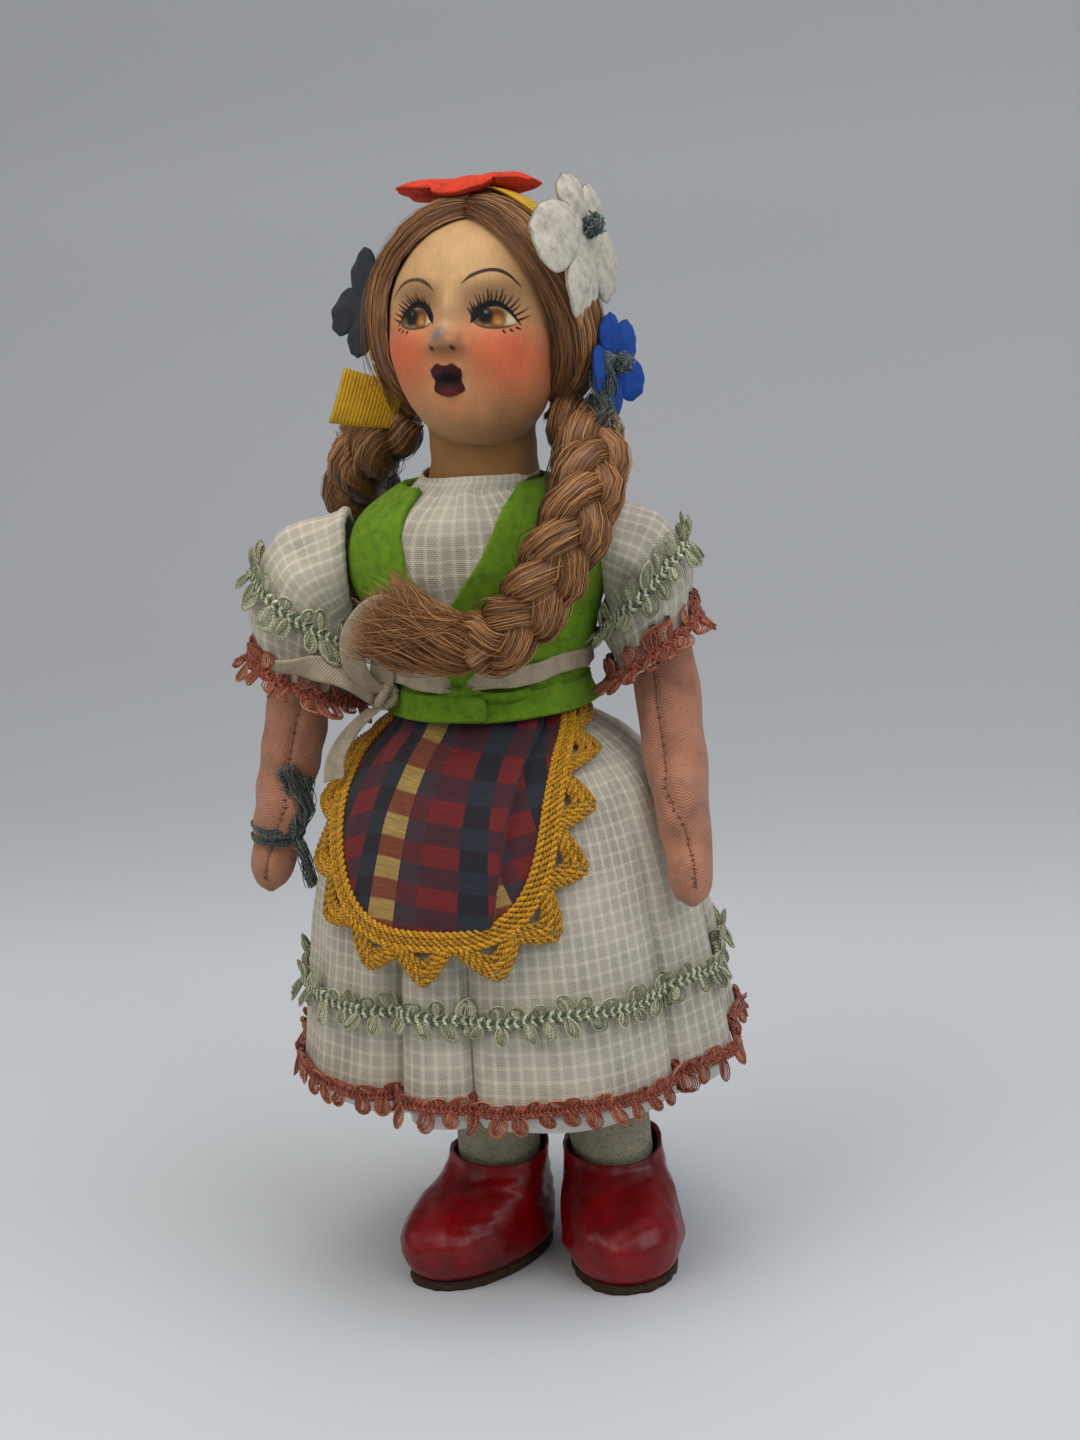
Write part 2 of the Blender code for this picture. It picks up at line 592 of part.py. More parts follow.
def build_skirt():
    turn = np.linspace(0, 2 * math.pi, FOLD_COUNT * 6, endpoint=False)
    falls = np.array([0, 0.08, 0.16, 0.28, 0.52, 0.76, 1.0])
    cloth("skirt", [skirt_surface(turn, fall) for fall in falls], DIMITY, CLOTH_THICKNESS)
    drop = skirt_fall(SKIRT_HEM_HEIGHT - PETTICOAT_DROP)
    inner = [skirt_surface(turn, fall * drop, -LAYER * (1 + fall)) for fall in falls[[0, 1, 2, 3, 6]]]
    cloth("petticoat", inner, LINING, CLOTH_THICKNESS)
    for name, low, finish in (("green", GREEN_TRIM_ABOVE_HEM, GREEN_GIMP), ("coral", 0, CORAL_GIMP)):
        rows = [skirt_surface(turn, skirt_fall(SKIRT_HEM_HEIGHT + low + TRIM_WIDTH * share), 2 * GAP)
                for share in (1, 0)]
        cloth(f"skirt_{name}_trim", rows, finish, TRIM_THICKNESS, outward=True)


def apron_point(across, down):
    """A point on the apron's outer side, across it and down from the waist, both in metres."""
    fall = down / (WAIST_HEIGHT - SKIRT_HEM_HEIGHT)
    out = APRON_OUT - SKIRT_OUT
    reach = skirt_surface(0, fall, out, 0)[..., 0]
    return skirt_surface(APRON_TURN + across / reach, fall, out, 0)


def apron_edge(share):
    """Across and down at a share of the way round the apron's U, from its left top to its right top."""
    turn = math.pi * (share - 0.5)
    side = math.sin(turn)
    across = APRON_HALF_WIDTH * np.sign(side) * abs(side) ** (2 / APRON_POWER)
    return across, APRON_LENGTH * abs(math.cos(turn)) ** (2 / APRON_POWER)


def build_apron():
    """The apron hangs over the skirt in front, and its lace runs round its curved edge."""
    rows = []
    for share in APRON_ROW_SHARES:
        half = APRON_HALF_WIDTH * (1 - share ** APRON_POWER) ** (1 / APRON_POWER)
        down = max(APRON_LENGTH * share + GAP, APRON_DROP)
        rows.append([apron_point(half * across, down) for across in np.linspace(-1, 1, 15)])
    cloth("apron", rows, PLAID, CLOTH_THICKNESS, closed=False)
    rows = []
    columns = np.linspace(0.03, 0.97, LACE_SCALLOPS * 4 + 1)
    for share in (0, 1):
        row = []
        for i, column in enumerate(columns):
            across, down = apron_edge(column)
            turn = math.pi * (column - 0.5)
            scallop = 0.72 + 0.28 * abs(math.sin(i * math.pi / 4)) if share == 1 else 1
            reach = GAP + LACE_WIDTH * share * scallop
            row.append(apron_point(across + reach * math.sin(turn), down + reach * max(0, math.cos(turn))))
        rows.append(row)
    cloth("apron_lace", rows, YELLOW_COTTON, CLOTH_THICKNESS, closed=False)


def strip(name, centres, widths, across, finish, thickness=RIBBON_THICKNESS, **place):
    """A flat ribbon along a line, its width lying along the directions given."""
    centres, across = np.array(centres), np.array(across, float)
    across = across / np.linalg.norm(across, axis=-1, keepdims=True)
    half = np.array(widths)[:, None] / 2 * across
    rows = [centres + half, centres - half]
    return cloth(name, rows, finish, thickness, closed=False, **place)


def build_waist_ribbon():
    """The ribbon tied round the waist, with its knot, loop and tails at the doll's right."""
    rows = []
    out = 2 * GAP + RIBBON_THICKNESS
    for share in (0.5, 0, -0.5):
        wide, deep, high = vest_halves(WAIST_HEIGHT + WAIST_RIBBON_WIDTH * share, out)
        rows.append(ring(wide, deep, high, 28))
    cloth("waist_ribbon", rows, COTTON_TAPE, RIBBON_THICKNESS)
    side = np.array([math.cos(BOW_TURN), math.sin(BOW_TURN), 0])
    wide, deep, high = vest_halves(WAIST_HEIGHT, out)
    size = WAIST_RIBBON_WIDTH * 0.6
    knot = np.array([wide, deep, 0]) * side + side * (size + 2 * GAP) + np.array([0, 0, high])
    ellipsoid("waist_bow_knot", (size, size, size), COTTON_TAPE, 10, 6, location=knot)
    for name, across, route in (("loop", (-1, 0.3, 0), BOW_LOOP_SHARES),
                                ("upper_tail", (0.2, 0, 1), UPPER_TAIL_SHARES),
                                ("lower_tail", (1, 0, 0.2), LOWER_TAIL_SHARES)):
        line = knot + smooth_line(route, 10) * BOW_LOOP_HEIGHT
        strip("waist_bow_" + name, line, np.full(10, WAIST_RIBBON_WIDTH), np.tile(across, (10, 1)),
              COTTON_TAPE)


def head_direction(azimuth, height):
    """A unit direction in the head's frame: azimuth 0 is the face and 90 the doll's left, in degrees."""
    a, h = math.radians(azimuth), math.radians(height)
    return Vector((math.sin(a) * math.cos(h), -math.cos(a) * math.cos(h), math.sin(h)))


def head_surface(direction, out):
    """The point of the head's ellipsoid, this far outside it, whose normal is the direction."""
    half = np.array([HEAD_HALF_WIDTH, HEAD_HALF_DEPTH, HEAD_HALF_HEIGHT])
    n = np.array(direction)
    return half**2 * n / np.linalg.norm(half * n) + out * n


def build_face_mask(head):
    """The stiff cloth mask: the front of the head's ellipsoid, with its nose, cheeks and chin raised."""
    rows = []
    for polar in np.radians(np.linspace(14, 160, 13)):
        azimuth = np.radians(np.linspace(-92, 92, 17))
        x, y = np.sin(polar) * np.sin(azimuth), -np.sin(polar) * np.cos(azimuth)
        z = np.full(17, math.cos(polar))
        rise = NOSE_HEIGHT * sum(rise * np.exp(-((x - across) / wide) ** 2 - ((z - up) / high) ** 2)
                                 for across, up, wide, high, rise in FACE_BUMP_SHARES)
        rows.append(np.stack([x * (HEAD_HALF_WIDTH + rise), y * (HEAD_HALF_DEPTH + rise),
                              z * HEAD_HALF_HEIGHT], axis=1))
    cloth("face_mask", rows, PAINTED_CLOTH, MASK_THICKNESS, closed=False, parent=head)


def build_hair(head):
    """The mohair cap, a shell over the crown, the sides and the back, open in front of the face."""
    around = np.linspace(0, 360, 32, endpoint=False)
    table = np.array(HAIRLINE_SHARES, float)
    limit = math.pi * np.interp(np.minimum(around, 360 - around), table[:, 0], table[:, 1])
    turn = np.radians(around) + math.pi / 2
    half = np.array([HEAD_HALF_WIDTH, HEAD_HALF_DEPTH, HEAD_HALF_HEIGHT]) + HAIR_OUT
    crown = math.radians(7)
    rows = []
    for share in np.linspace(0, 1, 7):
        polar = crown + (limit - crown) * share
        out = np.sin(polar)
        rows.append(np.stack([half[0] * out * np.cos(turn), half[1] * out * np.sin(turn),
                              half[2] * np.cos(polar)], axis=1))
    data = grid_mesh("hair", rows, True)
    mesh = bmesh.new()
    mesh.from_mesh(data)
    mesh.verts.ensure_lookup_table()
    mesh.faces.new(mesh.verts[:32])
    mesh.to_mesh(data)
    mesh.free()
    hair = add_object("hair", data, MOHAIR, parent=head)
    thicken(hair, HAIR_THICKNESS)


def head_cutter(name, out, head):
    half = (HEAD_HALF_WIDTH + out, HEAD_HALF_DEPTH + out, HEAD_HALF_HEIGHT + out)
    return make_cutter(ellipsoid(name, half, MOHAIR, 24, 16, parent=head))


def build_braid(name, route_shares, cutter):
    """A braid from the hair to its brushed end, as one thick tube and a tuft."""
    route = [(CHEST_HALF_WIDTH * x, CHEST_HALF_WIDTH * y,
              TORSO_TOP + up * (HEAD_ABOVE_BODY if up > 0 else TORSO_HEIGHT)) for x, y, up in route_shares]
    line = smooth_line(route, 18)
    swell = np.interp(np.linspace(0, 1, 18), (0, 0.15, 0.85, 1), (0.78, 1, 0.92, 0.72))
    braid = as_mesh(tube(name, line, BRAID_RADIUS * swell, MOHAIR))
    boolean(braid, cutter, "DIFFERENCE")
    end, way = line[-1], line[-1] - line[-2]
    way = way / np.linalg.norm(way)
    tuft = [end + way * (GAP + TASSEL_LENGTH * share) for share in (0, 0.2, 0.6, 0.9, 1)]
    tube(name + "_tassel", tuft, TASSEL_RADIUS * np.array([0.70, 0.92, 1.0, 0.85, 0.6]), MOHAIR)


def band_rows(angles, width, middle, out):
    """Rows of a ribbon over the crown that hugs the head's ellipsoid, front edge to back edge."""
    half = np.array([HEAD_HALF_WIDTH, HEAD_HALF_DEPTH, HEAD_HALF_HEIGHT]) + out
    rows = []
    for share in (-0.5, -0.17, 0.17, 0.5):
        y = middle + width * share
        drawn = math.sqrt(1 - (y / half[1]) ** 2)
        rows.append(np.stack([half[0] * drawn * np.cos(angles), np.full(len(angles), y),
                              half[2] * drawn * np.sin(angles)], axis=1))
    return rows


def build_headband(head):
    """The ribbon over the crown, with an end that stands off the head at each side."""
    angles = np.radians(np.linspace(-8, 196, 21))
    rows = band_rows(angles, HEADBAND_WIDTH, HEADBAND_BACK, BAND_OUT)
    cloth("headband_ribbon", rows, YELLOW_RIBBON, RIBBON_THICKNESS, closed=False, parent=head)
    bpy.context.view_layer.update()
    for index, name, route, across in ((0, "left", LEFT_END_SHARES, (0, 1, 0)),
                                       (-1, "right", RIGHT_END_SHARES, (0.5, 1, 0.1))):
        start = np.array(head.matrix_world @ Vector((rows[1][index] + rows[2][index]) / 2))
        line = start + smooth_line(route, 7) * HEADBAND_WIDTH
        wide = HEADBAND_WIDTH * np.linspace(0.70, 1.0, 7)
        strip(f"headband_{name}_end", line, wide, np.tile(across, (7, 1)), YELLOW_RIBBON)


def build_flower(name, radius, direction, spin, finish, head, centre_finish=None, slide=0.0, off=0.0):
    """A felt flower against the hair, slid down and standing off by so much, and its wool centre."""
    seat = Vector(head_surface(direction, BAND_OUT + GAP + FELT_THICKNESS / 2 + off))
    down = Vector((0, 0, -1))
    seat += (down - direction * down.dot(direction)) * slide
    facing = direction.to_track_quat("Z", "Y").to_matrix() @ Matrix.Rotation(spin, 3, "Z")
    rotation = facing.to_euler()
    felt_shape(name, petals(radius), finish, parent=head, location=seat, rotation=rotation)
    if centre_finish:
        high = FLOWER_CENTRE_RADIUS * 0.6
        above = seat + direction * (FELT_THICKNESS / 2 + GAP + high)
        half = (FLOWER_CENTRE_RADIUS, FLOWER_CENTRE_RADIUS * 1.5, high)
        ellipsoid(name + "_centre", half, centre_finish, 10, 6, parent=head, location=above,
                  rotation=rotation)


def build_head():
    """The head on its neck, turned, tilted back and leaned as the doll holds it."""
    place = (HEAD_SHIFT, -HEAD_FORWARD, TORSO_TOP + HEAD_ABOVE_BODY)
    head = add_empty("head_centre", place, Euler((HEAD_TILT_BACK, HEAD_LEAN, HEAD_TURN), "XYZ"))
    core = MASK_THICKNESS + GAP
    half = (HEAD_HALF_WIDTH - core, HEAD_HALF_DEPTH - core, HEAD_HALF_HEIGHT - core)
    ellipsoid("head_core", half, COTTON, 18, 11, parent=head)
    build_face_mask(head)
    build_hair(head)
    neck_cutter = head_cutter("neck_cutter", GAP, head)
    neck_height = HEAD_ABOVE_BODY - HEAD_HALF_HEIGHT * 0.62
    profile = [(0, neck_height), (NECK_RADIUS, neck_height), (NECK_RADIUS * 0.97, neck_height / 2),
               (NECK_RADIUS, 0), (0, 0)]
    neck = turned("neck", profile, STOCKINET_PINK, 24, location=(NECK_SHIFT, 0, TORSO_TOP + GAP))
    boolean(neck, neck_cutter, "DIFFERENCE")
    hair_cutter = head_cutter("hair_cutter", HAIR_OUT + GAP, head)
    build_braid("left_braid", LEFT_BRAID_SHARES, hair_cutter)
    build_braid("right_braid", RIGHT_BRAID_SHARES, hair_cutter)
    build_headband(head)
    build_flower("red_flower", RED_FLOWER_RADIUS, head_direction(200, 80), 0.0, RED_FELT, head)
    build_flower("white_flower", WHITE_FLOWER_RADIUS, head_direction(80, 32), 0.5, WHITE_FELT, head,
                 GREEN_WOOL)
    build_flower("blue_flower", BLUE_FLOWER_RADIUS, head_direction(98, -8), 0.2, BLUE_FELT, head,
                 GREEN_WOOL, BLUE_FLOWER_DROP, BLUE_FLOWER_STAND_OFF)
    build_flower("grey_flower", GREY_FLOWER_RADIUS, head_direction(-112, 8), 0.3, GREY_FELT, head)


clear_scene()
DOLL = make_collection("rag_doll")
CUTTERS = make_collection("cutters")
COTTON = material("stuffed cotton", "#C9B79A", 0.9)
STOCKINET = material("cream stockinet", "#CFC5B4", 0.9)
STOCKINET_PINK = material("pink stockinet", "#C08F76", 0.85)
PAINTED_CLOTH = material("painted face cloth", "#DDBF92", 0.6)
MOHAIR = material("mohair", "#A87345", 0.6)
RED_LEATHER = material("red leathercloth", "#8E0A14", 0.3)
SOLE_LEATHER = material("brown sole board", "#4A2A1C", 0.7)
DIMITY = material("checked dimity", "#C9C4BB", 0.85)
LINING = material("white lining", "#D8D4CC", 0.9)
GREEN_FELT = material("green felt", "#6E9E22", 0.95)
PLAID = material("plaid cotton", "#6A1A2C", 0.85)
YELLOW_COTTON = material("yellow crochet cotton", "#D9A514", 0.8)
YELLOW_RIBBON = material("yellow grosgrain", "#E0C010", 0.6)
COTTON_TAPE = material("beige tape", "#BFB39F", 0.8)
GREEN_GIMP = material("green and cream gimp", "#B7BFA0", 0.8)
CORAL_GIMP = material("coral gimp", "#C8714F", 0.8)
RED_FELT = material("red felt", "#E8380F", 0.95)
WHITE_FELT = material("white felt", "#D8D4C8", 0.95)
BLUE_FELT = material("blue felt", "#0D4FA0", 0.95)
GREY_FELT = material("grey felt", "#3A3E44", 0.95)
GREEN_WOOL = material("green-grey wool", "#5E6E66", 0.95)

build_torso()
build_leg(1, "left", TOE_OUT_LEFT)
build_leg(-1, "right", TOE_OUT_RIGHT)
build_blouse()
build_skirt()
build_apron()
build_vest()
build_waist_ribbon()
left_shoulder = build_arm(1, "left", (HAND_OUT_LEFT, HAND_FORWARD_LEFT))
right_shoulder = build_arm(-1, "right", (HAND_OUT_RIGHT, HAND_FORWARD_RIGHT))
build_sleeve(1, "left", left_shoulder)
build_sleeve(-1, "right", right_shoulder)
build_wrist_yarn(-1, (HAND_OUT_RIGHT, HAND_FORWARD_RIGHT), right_shoulder)
build_head()
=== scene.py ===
"""A small rag doll in folk dress: painted cloth face, mohair braids, felt flowers, gathered clothes.

Every shape below is worked out in millimetres and written to its mesh in metres. The doll stands at
Z = 0 and faces -Y, so its own left is at +X."""

import math

import bpy
import numpy as np
from mathutils import Matrix, Vector


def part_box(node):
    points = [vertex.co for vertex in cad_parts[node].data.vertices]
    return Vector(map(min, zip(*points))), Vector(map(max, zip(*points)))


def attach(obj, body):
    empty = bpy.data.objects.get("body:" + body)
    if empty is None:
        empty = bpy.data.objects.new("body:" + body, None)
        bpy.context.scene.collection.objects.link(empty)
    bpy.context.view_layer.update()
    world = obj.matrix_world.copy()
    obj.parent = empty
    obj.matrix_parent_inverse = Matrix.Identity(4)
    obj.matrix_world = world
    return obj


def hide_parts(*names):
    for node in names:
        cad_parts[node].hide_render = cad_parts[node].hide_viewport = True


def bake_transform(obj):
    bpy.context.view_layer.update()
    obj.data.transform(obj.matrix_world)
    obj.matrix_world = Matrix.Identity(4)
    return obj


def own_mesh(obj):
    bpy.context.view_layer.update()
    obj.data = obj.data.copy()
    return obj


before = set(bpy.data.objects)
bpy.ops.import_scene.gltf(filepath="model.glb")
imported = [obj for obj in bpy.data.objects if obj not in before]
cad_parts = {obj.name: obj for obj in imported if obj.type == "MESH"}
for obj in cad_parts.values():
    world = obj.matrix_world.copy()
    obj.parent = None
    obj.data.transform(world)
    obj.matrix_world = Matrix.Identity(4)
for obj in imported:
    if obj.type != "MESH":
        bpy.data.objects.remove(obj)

bl_info = {
    "name": "Rag doll",
    "version": (1, 0, 0),
    "blender": (4, 5, 0),
    "location": "3D View > Sidebar > Rag doll",
    "description": "Makes a small rag doll in folk dress over its jointed frame",
    "category": "Add Mesh",
}

MM = 0.001
HALF_TURN = math.pi


def smooth_line(points, count):
    """Points along a Catmull-Rom curve: between two given points the curve is the cubic that passes
    through both, and leaves each in the direction from the point before it to the point after it."""
    given = np.array(points, float)
    padded = np.vstack([2 * given[0] - given[1], given, 2 * given[-1] - given[-2]])
    t = np.linspace(0, len(given) - 1, count)
    i = np.minimum(t.astype(int), len(given) - 2)
    f = (t - i)[:, None]
    a, b, c, d = padded[i], padded[i + 1], padded[i + 2], padded[i + 3]
    return (2 * b + (c - a) * f + (2 * a - 5 * b + 4 * c - d) * f**2 + (3 * b - a - 3 * c + d) * f**3) / 2


def read(table, at, column=1):
    """The smooth curve through a table's rows, read at these values of its first column."""
    line = smooth_line(table, 80)
    return np.interp(at, line[:, 0], line[:, column])


def unit(vectors):
    return vectors / np.maximum(np.linalg.norm(vectors, axis=-1, keepdims=True), 1e-9)


def bump(x, z, middle, reach, power=2.0):
    """A soft hill: e to the minus (distance over reach) to the power, 1 at its middle."""
    near = np.hypot((x - middle[0]) / reach[0], (z - middle[1]) / reach[1])
    return np.exp(-near ** power)


def step(value, low, high):
    """0 below low, 1 above high, and the smooth cubic 3t^2 - 2t^3 between them."""
    t = np.clip((value - low) / (high - low), 0, 1)
    return t * t * (3 - 2 * t)


def ripple(points, size, seed, waves=6):
    """Smooth unevenness from -1 to 1: the mean of sine waves that run in seeded directions, about size
    millimetres from crest to crest."""
    random = np.random.default_rng(seed)
    ways = unit(random.normal(size=(waves, points.shape[-1])))
    ways *= 2 * HALF_TURN / size * random.uniform(0.6, 1.6, (waves, 1))
    return np.sin(points @ ways.T + random.uniform(0, 2 * HALF_TURN, waves)).mean(axis=-1) * 1.5


def grid(points, around=False, ends=False, uv=None, tint=0.5, turn=False):
    """One or several grids of points, (rows, columns, 3), as a shell of quads. Rows run down or along, and
    around joins the last column to the first. uv is in millimetres, one more column than the points have
    where the grid goes around. tint is a number from 0 to 1 that the finish reads."""
    points = np.asarray(points, float)
    if points.ndim == 3:
        points = points[None]
    shells, rows, columns = points.shape[:3]
    wide = columns if around else columns - 1
    s, i, j = np.meshgrid(np.arange(shells), np.arange(rows - 1), np.arange(wide), indexing="ij")
    k = (j + 1) % columns
    first = s * rows * columns
    quads = np.stack([first + i * columns + j, first + (i + 1) * columns + j,
                      first + (i + 1) * columns + k, first + i * columns + k], axis=-1).reshape(-1, 4)
    if uv is None:
        uv = np.stack(np.meshgrid(np.arange(wide + 1.0), np.arange(float(rows))), axis=-1)
    uv = np.broadcast_to(uv, (shells, rows, wide + 1, 2))
    corners = np.stack([uv[s, i, j], uv[s, i + 1, j], uv[s, i + 1, j + 1], uv[s, i, j + 1]], axis=-2)
    faces, corners = [quads], [corners.reshape(-1, 2)]
    if ends:
        base = np.arange(shells)[:, None] * rows * columns
        loop = np.arange(columns)
        for cap in (base + loop, base + (rows - 1) * columns + loop[::-1]):
            faces.append(cap)
            corners.append(np.zeros((cap.size, 2)))
    if turn:
        faces = [face[:, ::-1] for face in faces]
        corners = [part.reshape(len(face), -1, 2)[:, ::-1].reshape(-1, 2)
                   for part, face in zip(corners, faces)]
    tint = np.broadcast_to(np.asarray(tint, float).reshape(-1, 1, 1) if np.ndim(tint) == 1 else tint,
                           (shells, rows, columns))
    return {"points": points.reshape(-1, 3), "faces": faces, "uv": corners, "tint": tint.reshape(-1)}


def threads(paths, radii, sides=4, tint=0.5, flat=1.0, twist=0.0):
    """Round threads along paths, (count, stations, 3): at each station a circle square to the path, carried
    on from the last one without twisting. radii is one number, or one for each station or thread. twist
    slants the finish: its turns round the thread for each millimetre along it."""
    paths = np.asarray(paths, float)
    if paths.ndim == 2:
        paths = paths[None]
    count, stations = paths.shape[:2]
    along = unit(np.gradient(paths, axis=1))
    start = np.where(np.abs(along[:, 0, 2:3]) < 0.8, (0, 0, 1.0), (1.0, 0, 0))
    side = np.empty_like(paths)
    side[:, 0] = unit(np.cross(along[:, 0], start))
    for i in range(1, stations):
        last = side[:, i - 1]
        side[:, i] = unit(last - (last * along[:, i]).sum(-1, keepdims=True) * along[:, i])
    up = np.cross(along, side)
    angle = np.linspace(0, 2 * HALF_TURN, sides, endpoint=False)[:, None]
    radii = np.broadcast_to(radii, (count, stations))[:, :, None, None]
    rings = (paths[:, :, None] + radii * (np.cos(angle) * side[:, :, None]
                                          + flat * np.sin(angle) * up[:, :, None]))
    reach = np.concatenate([np.zeros((count, 1)), np.cumsum(np.linalg.norm(np.diff(paths, axis=1), axis=-1),
                                                           axis=1)], axis=1)
    uv = np.stack(np.broadcast_arrays(np.linspace(0, 1, sides + 1) + twist * reach[:, :, None],
                                      reach[:, :, None]),
                  axis=-1)
    return grid(rings, around=True, ends=True, uv=uv, tint=tint, turn=True)


def piece(name, parts, finish, body, replaces=(), thickness=0.0, outward=False, colours=None,
          smooth=True):
    """One object at the origin from its grids, with its finish, the body that it rides on, the record's
    slot, and the CAD nodes that it stands for. thickness is a live Solidify, in millimetres."""
    parts = parts if isinstance(parts, list) else [parts]
    starts = np.cumsum([0] + [len(part["points"]) for part in parts[:-1]])
    faces = [face + start for part, start in zip(parts, starts) for face in part["faces"]]
    sizes = np.concatenate([np.full(len(face), face.shape[1]) for face in faces])
    corners = np.concatenate([face.ravel() for face in faces]).astype(np.int32)
    points = np.concatenate([part["points"] for part in parts])
    mesh = bpy.data.meshes.new(name)
    mesh.vertices.add(len(points))
    mesh.vertices.foreach_set("co", (points * MM).astype(np.float32).ravel())
    mesh.loops.add(len(corners))
    mesh.loops.foreach_set("vertex_index", corners)
    mesh.polygons.add(len(sizes))
    mesh.polygons.foreach_set("loop_start", np.concatenate([[0], np.cumsum(sizes)[:-1]]).astype(np.int32))
    mesh.polygons.foreach_set("use_smooth", np.full(len(sizes), smooth))
    mesh.update(calc_edges=True)
    flat = np.concatenate([part for group in parts for part in group["uv"]]).astype(np.float32)
    mesh.uv_layers.new(name="UVMap").data.foreach_set("uv", flat.ravel())
    tint = mesh.attributes.new("tint", "FLOAT", "POINT")
    tint.data.foreach_set("value", np.concatenate([part["tint"] for part in parts]).astype(np.float32))
    if colours is not None:
        painted = mesh.attributes.new("painted", "FLOAT_COLOR", "POINT")
        painted.data.foreach_set("color", colours.astype(np.float32).ravel())
    mesh.materials.append(finish)
    obj = bpy.data.objects.new(name, mesh)
    bpy.context.scene.collection.objects.link(obj)
    if thickness:
        solid = obj.modifiers.new("Thickness", "SOLIDIFY")
        solid.thickness, solid.offset = thickness * MM, 1 if outward else -1
        solid.use_even_offset = False
    if body:
        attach(obj, body)
    if replaces:
        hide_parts(*replaces)
    return obj


def linear(hex_colour, alpha=1.0):
    """The linear colour of an sRGB hex string."""
    srgb = np.array([int(hex_colour[i:i + 2], 16) for i in (1, 3, 5)]) / 255
    return (*np.where(srgb <= 0.04045, srgb / 12.92, ((srgb + 0.055) / 1.055) ** 2.4), alpha)


def add(tree, kind, inputs=None, **settings):
    """A node with its settings, and its inputs set to values or linked to nodes or their outputs."""
    made = tree.nodes.new("ShaderNode" + kind)
    for key, value in settings.items():
        setattr(made, key, value)
    for key, value in (inputs or {}).items():
        if isinstance(value, bpy.types.Node):
            tree.links.new(value.outputs[0], made.inputs[key])
        elif isinstance(value, bpy.types.NodeSocket):
            tree.links.new(value, made.inputs[key])
        else:
            made.inputs[key].default_value = value
    return made


def new_material(name, roughness, sheen=0.0, sheen_tint="#FFFFFF", coat=0.0, ior=1.5):
    """A material of the doll with its shader's constant sockets set; the packed frame has the bare names."""
    made = bpy.data.materials.new("doll_" + name)
    made.use_nodes = True
    tree = made.node_tree
    shader = tree.nodes["Principled BSDF"]
    shader.inputs["Roughness"].default_value = roughness
    shader.inputs["IOR"].default_value = ior
    shader.inputs["Sheen Weight"].default_value = sheen
    shader.inputs["Sheen Roughness"].default_value = 0.5
    shader.inputs["Sheen Tint"].default_value = linear(sheen_tint)
    shader.inputs["Coat Weight"].default_value = coat
    shader.inputs["Coat Roughness"].default_value = 0.2
    return made, tree, shader


def give(tree, shader, colour, height=None, depth=0.1, strength=1.0, roughness=None):
    """Links a colour, and a bump whose full height is depth millimetres."""
    tree.links.new(colour if isinstance(colour, bpy.types.NodeSocket) else colour.outputs[0],
                   shader.inputs["Base Color"])
    if roughness is not None:
        tree.links.new(roughness.outputs[0], shader.inputs["Roughness"])
    if height is not None:
        relief = add(tree, "Bump", {"Height": height, "Distance": depth * MM, "Strength": strength})
        tree.links.new(relief.outputs[0], shader.inputs["Normal"])


def ramp(tree, value, stops, interpolation="LINEAR"):
    """A colour ramp through (place, colour) stops."""
    made = add(tree, "ValToRGB", {0: value})
    made.color_ramp.interpolation = interpolation
    elements = made.color_ramp.elements
    while len(elements) < len(stops):
        elements.new(0.5)
    for element, (place, colour) in zip(elements, stops):
        element.position, element.color = place, colour
    return made


def surface_place(tree, by_uv, turned=0.0):
    """Places on a piece in millimetres: its UV map, which is in millimetres, or its Object coordinates."""
    where = add(tree, "TexCoord")
    if by_uv:
        return add(tree, "Mapping", {"Vector": where.outputs["UV"], "Rotation": (0, 0, turned)})
    return add(tree, "Mapping", {"Vector": where.outputs["Object"], "Scale": (1000, 1000, 1000)})


def lines(tree, place, axis, pitch, wobble=0.0):
    """Sine bands across one axis, pitch millimetres apart."""
    return add(tree, "TexWave", {"Vector": place, "Scale": 0.314159 / pitch, "Distortion": wobble,
                                 "Detail": 1.0, "Detail Scale": 0.4 * pitch}, bands_direction=axis)


def mixed(tree, share, first, second, how="MIX"):
    """Two colours, or nodes that give them, mixed by a share."""
    made = add(tree, "Mix", {0: share}, data_type="RGBA", blend_type=how)
    for index, value in ((6, first), (7, second)):
        if isinstance(value, tuple):
            made.inputs[index].default_value = value
        else:
            tree.links.new(value if isinstance(value, bpy.types.NodeSocket) else value.outputs[0],
                           made.inputs[index])
    return made.outputs[2]


def tone(colour, light=1.0, towards=None, share=0.0):
    """A colour property as a shader colour, made lighter or darker, and mixed towards another one."""
    made = np.clip(np.array(colour[:3]) * light, 0, 1)
    if towards is not None:
        made = made * (1 - share) + np.array(towards[:3]) * share
    return (*made, 1.0)


def felt(name, colour, fleck):
    """Wool felt: short fibres matted in every direction, so it is dull, soft at its edges, uneven in
    colour and flecked with lighter fibres."""
    made, tree, shader = new_material(name, 0.96, sheen=0.12, sheen_tint=fleck)
    place = surface_place(tree, False)
    cloudy = add(tree, "TexNoise", {"Vector": place, "Scale": 0.55, "Detail": 4.0, "Roughness": 0.6})
    fibres = add(tree, "TexNoise", {"Vector": place, "Scale": 2.6, "Detail": 5.0, "Roughness": 0.7,
                                    "Distortion": 1.6})
    patches = ramp(tree, cloudy, ((0.3, tone(colour, 0.62)), (0.52, tone(colour)), (0.75, tone(colour, 1.2))))
    shown = add(tree, "MapRange", {"Value": fibres, "From Min": 0.5, "From Max": 0.78})
    dark = add(tree, "MapRange", {"Value": fibres, "From Min": 0.45, "From Max": 0.25, "To Max": 0.5})
    light = mixed(tree, shown.outputs[0], patches, tone(colour, 1.1, linear(fleck), 0.35))
    give(tree, shader, mixed(tree, dark.outputs[0], light, tone(colour, 0.45)), fibres, 0.40, 0.9)
    return made


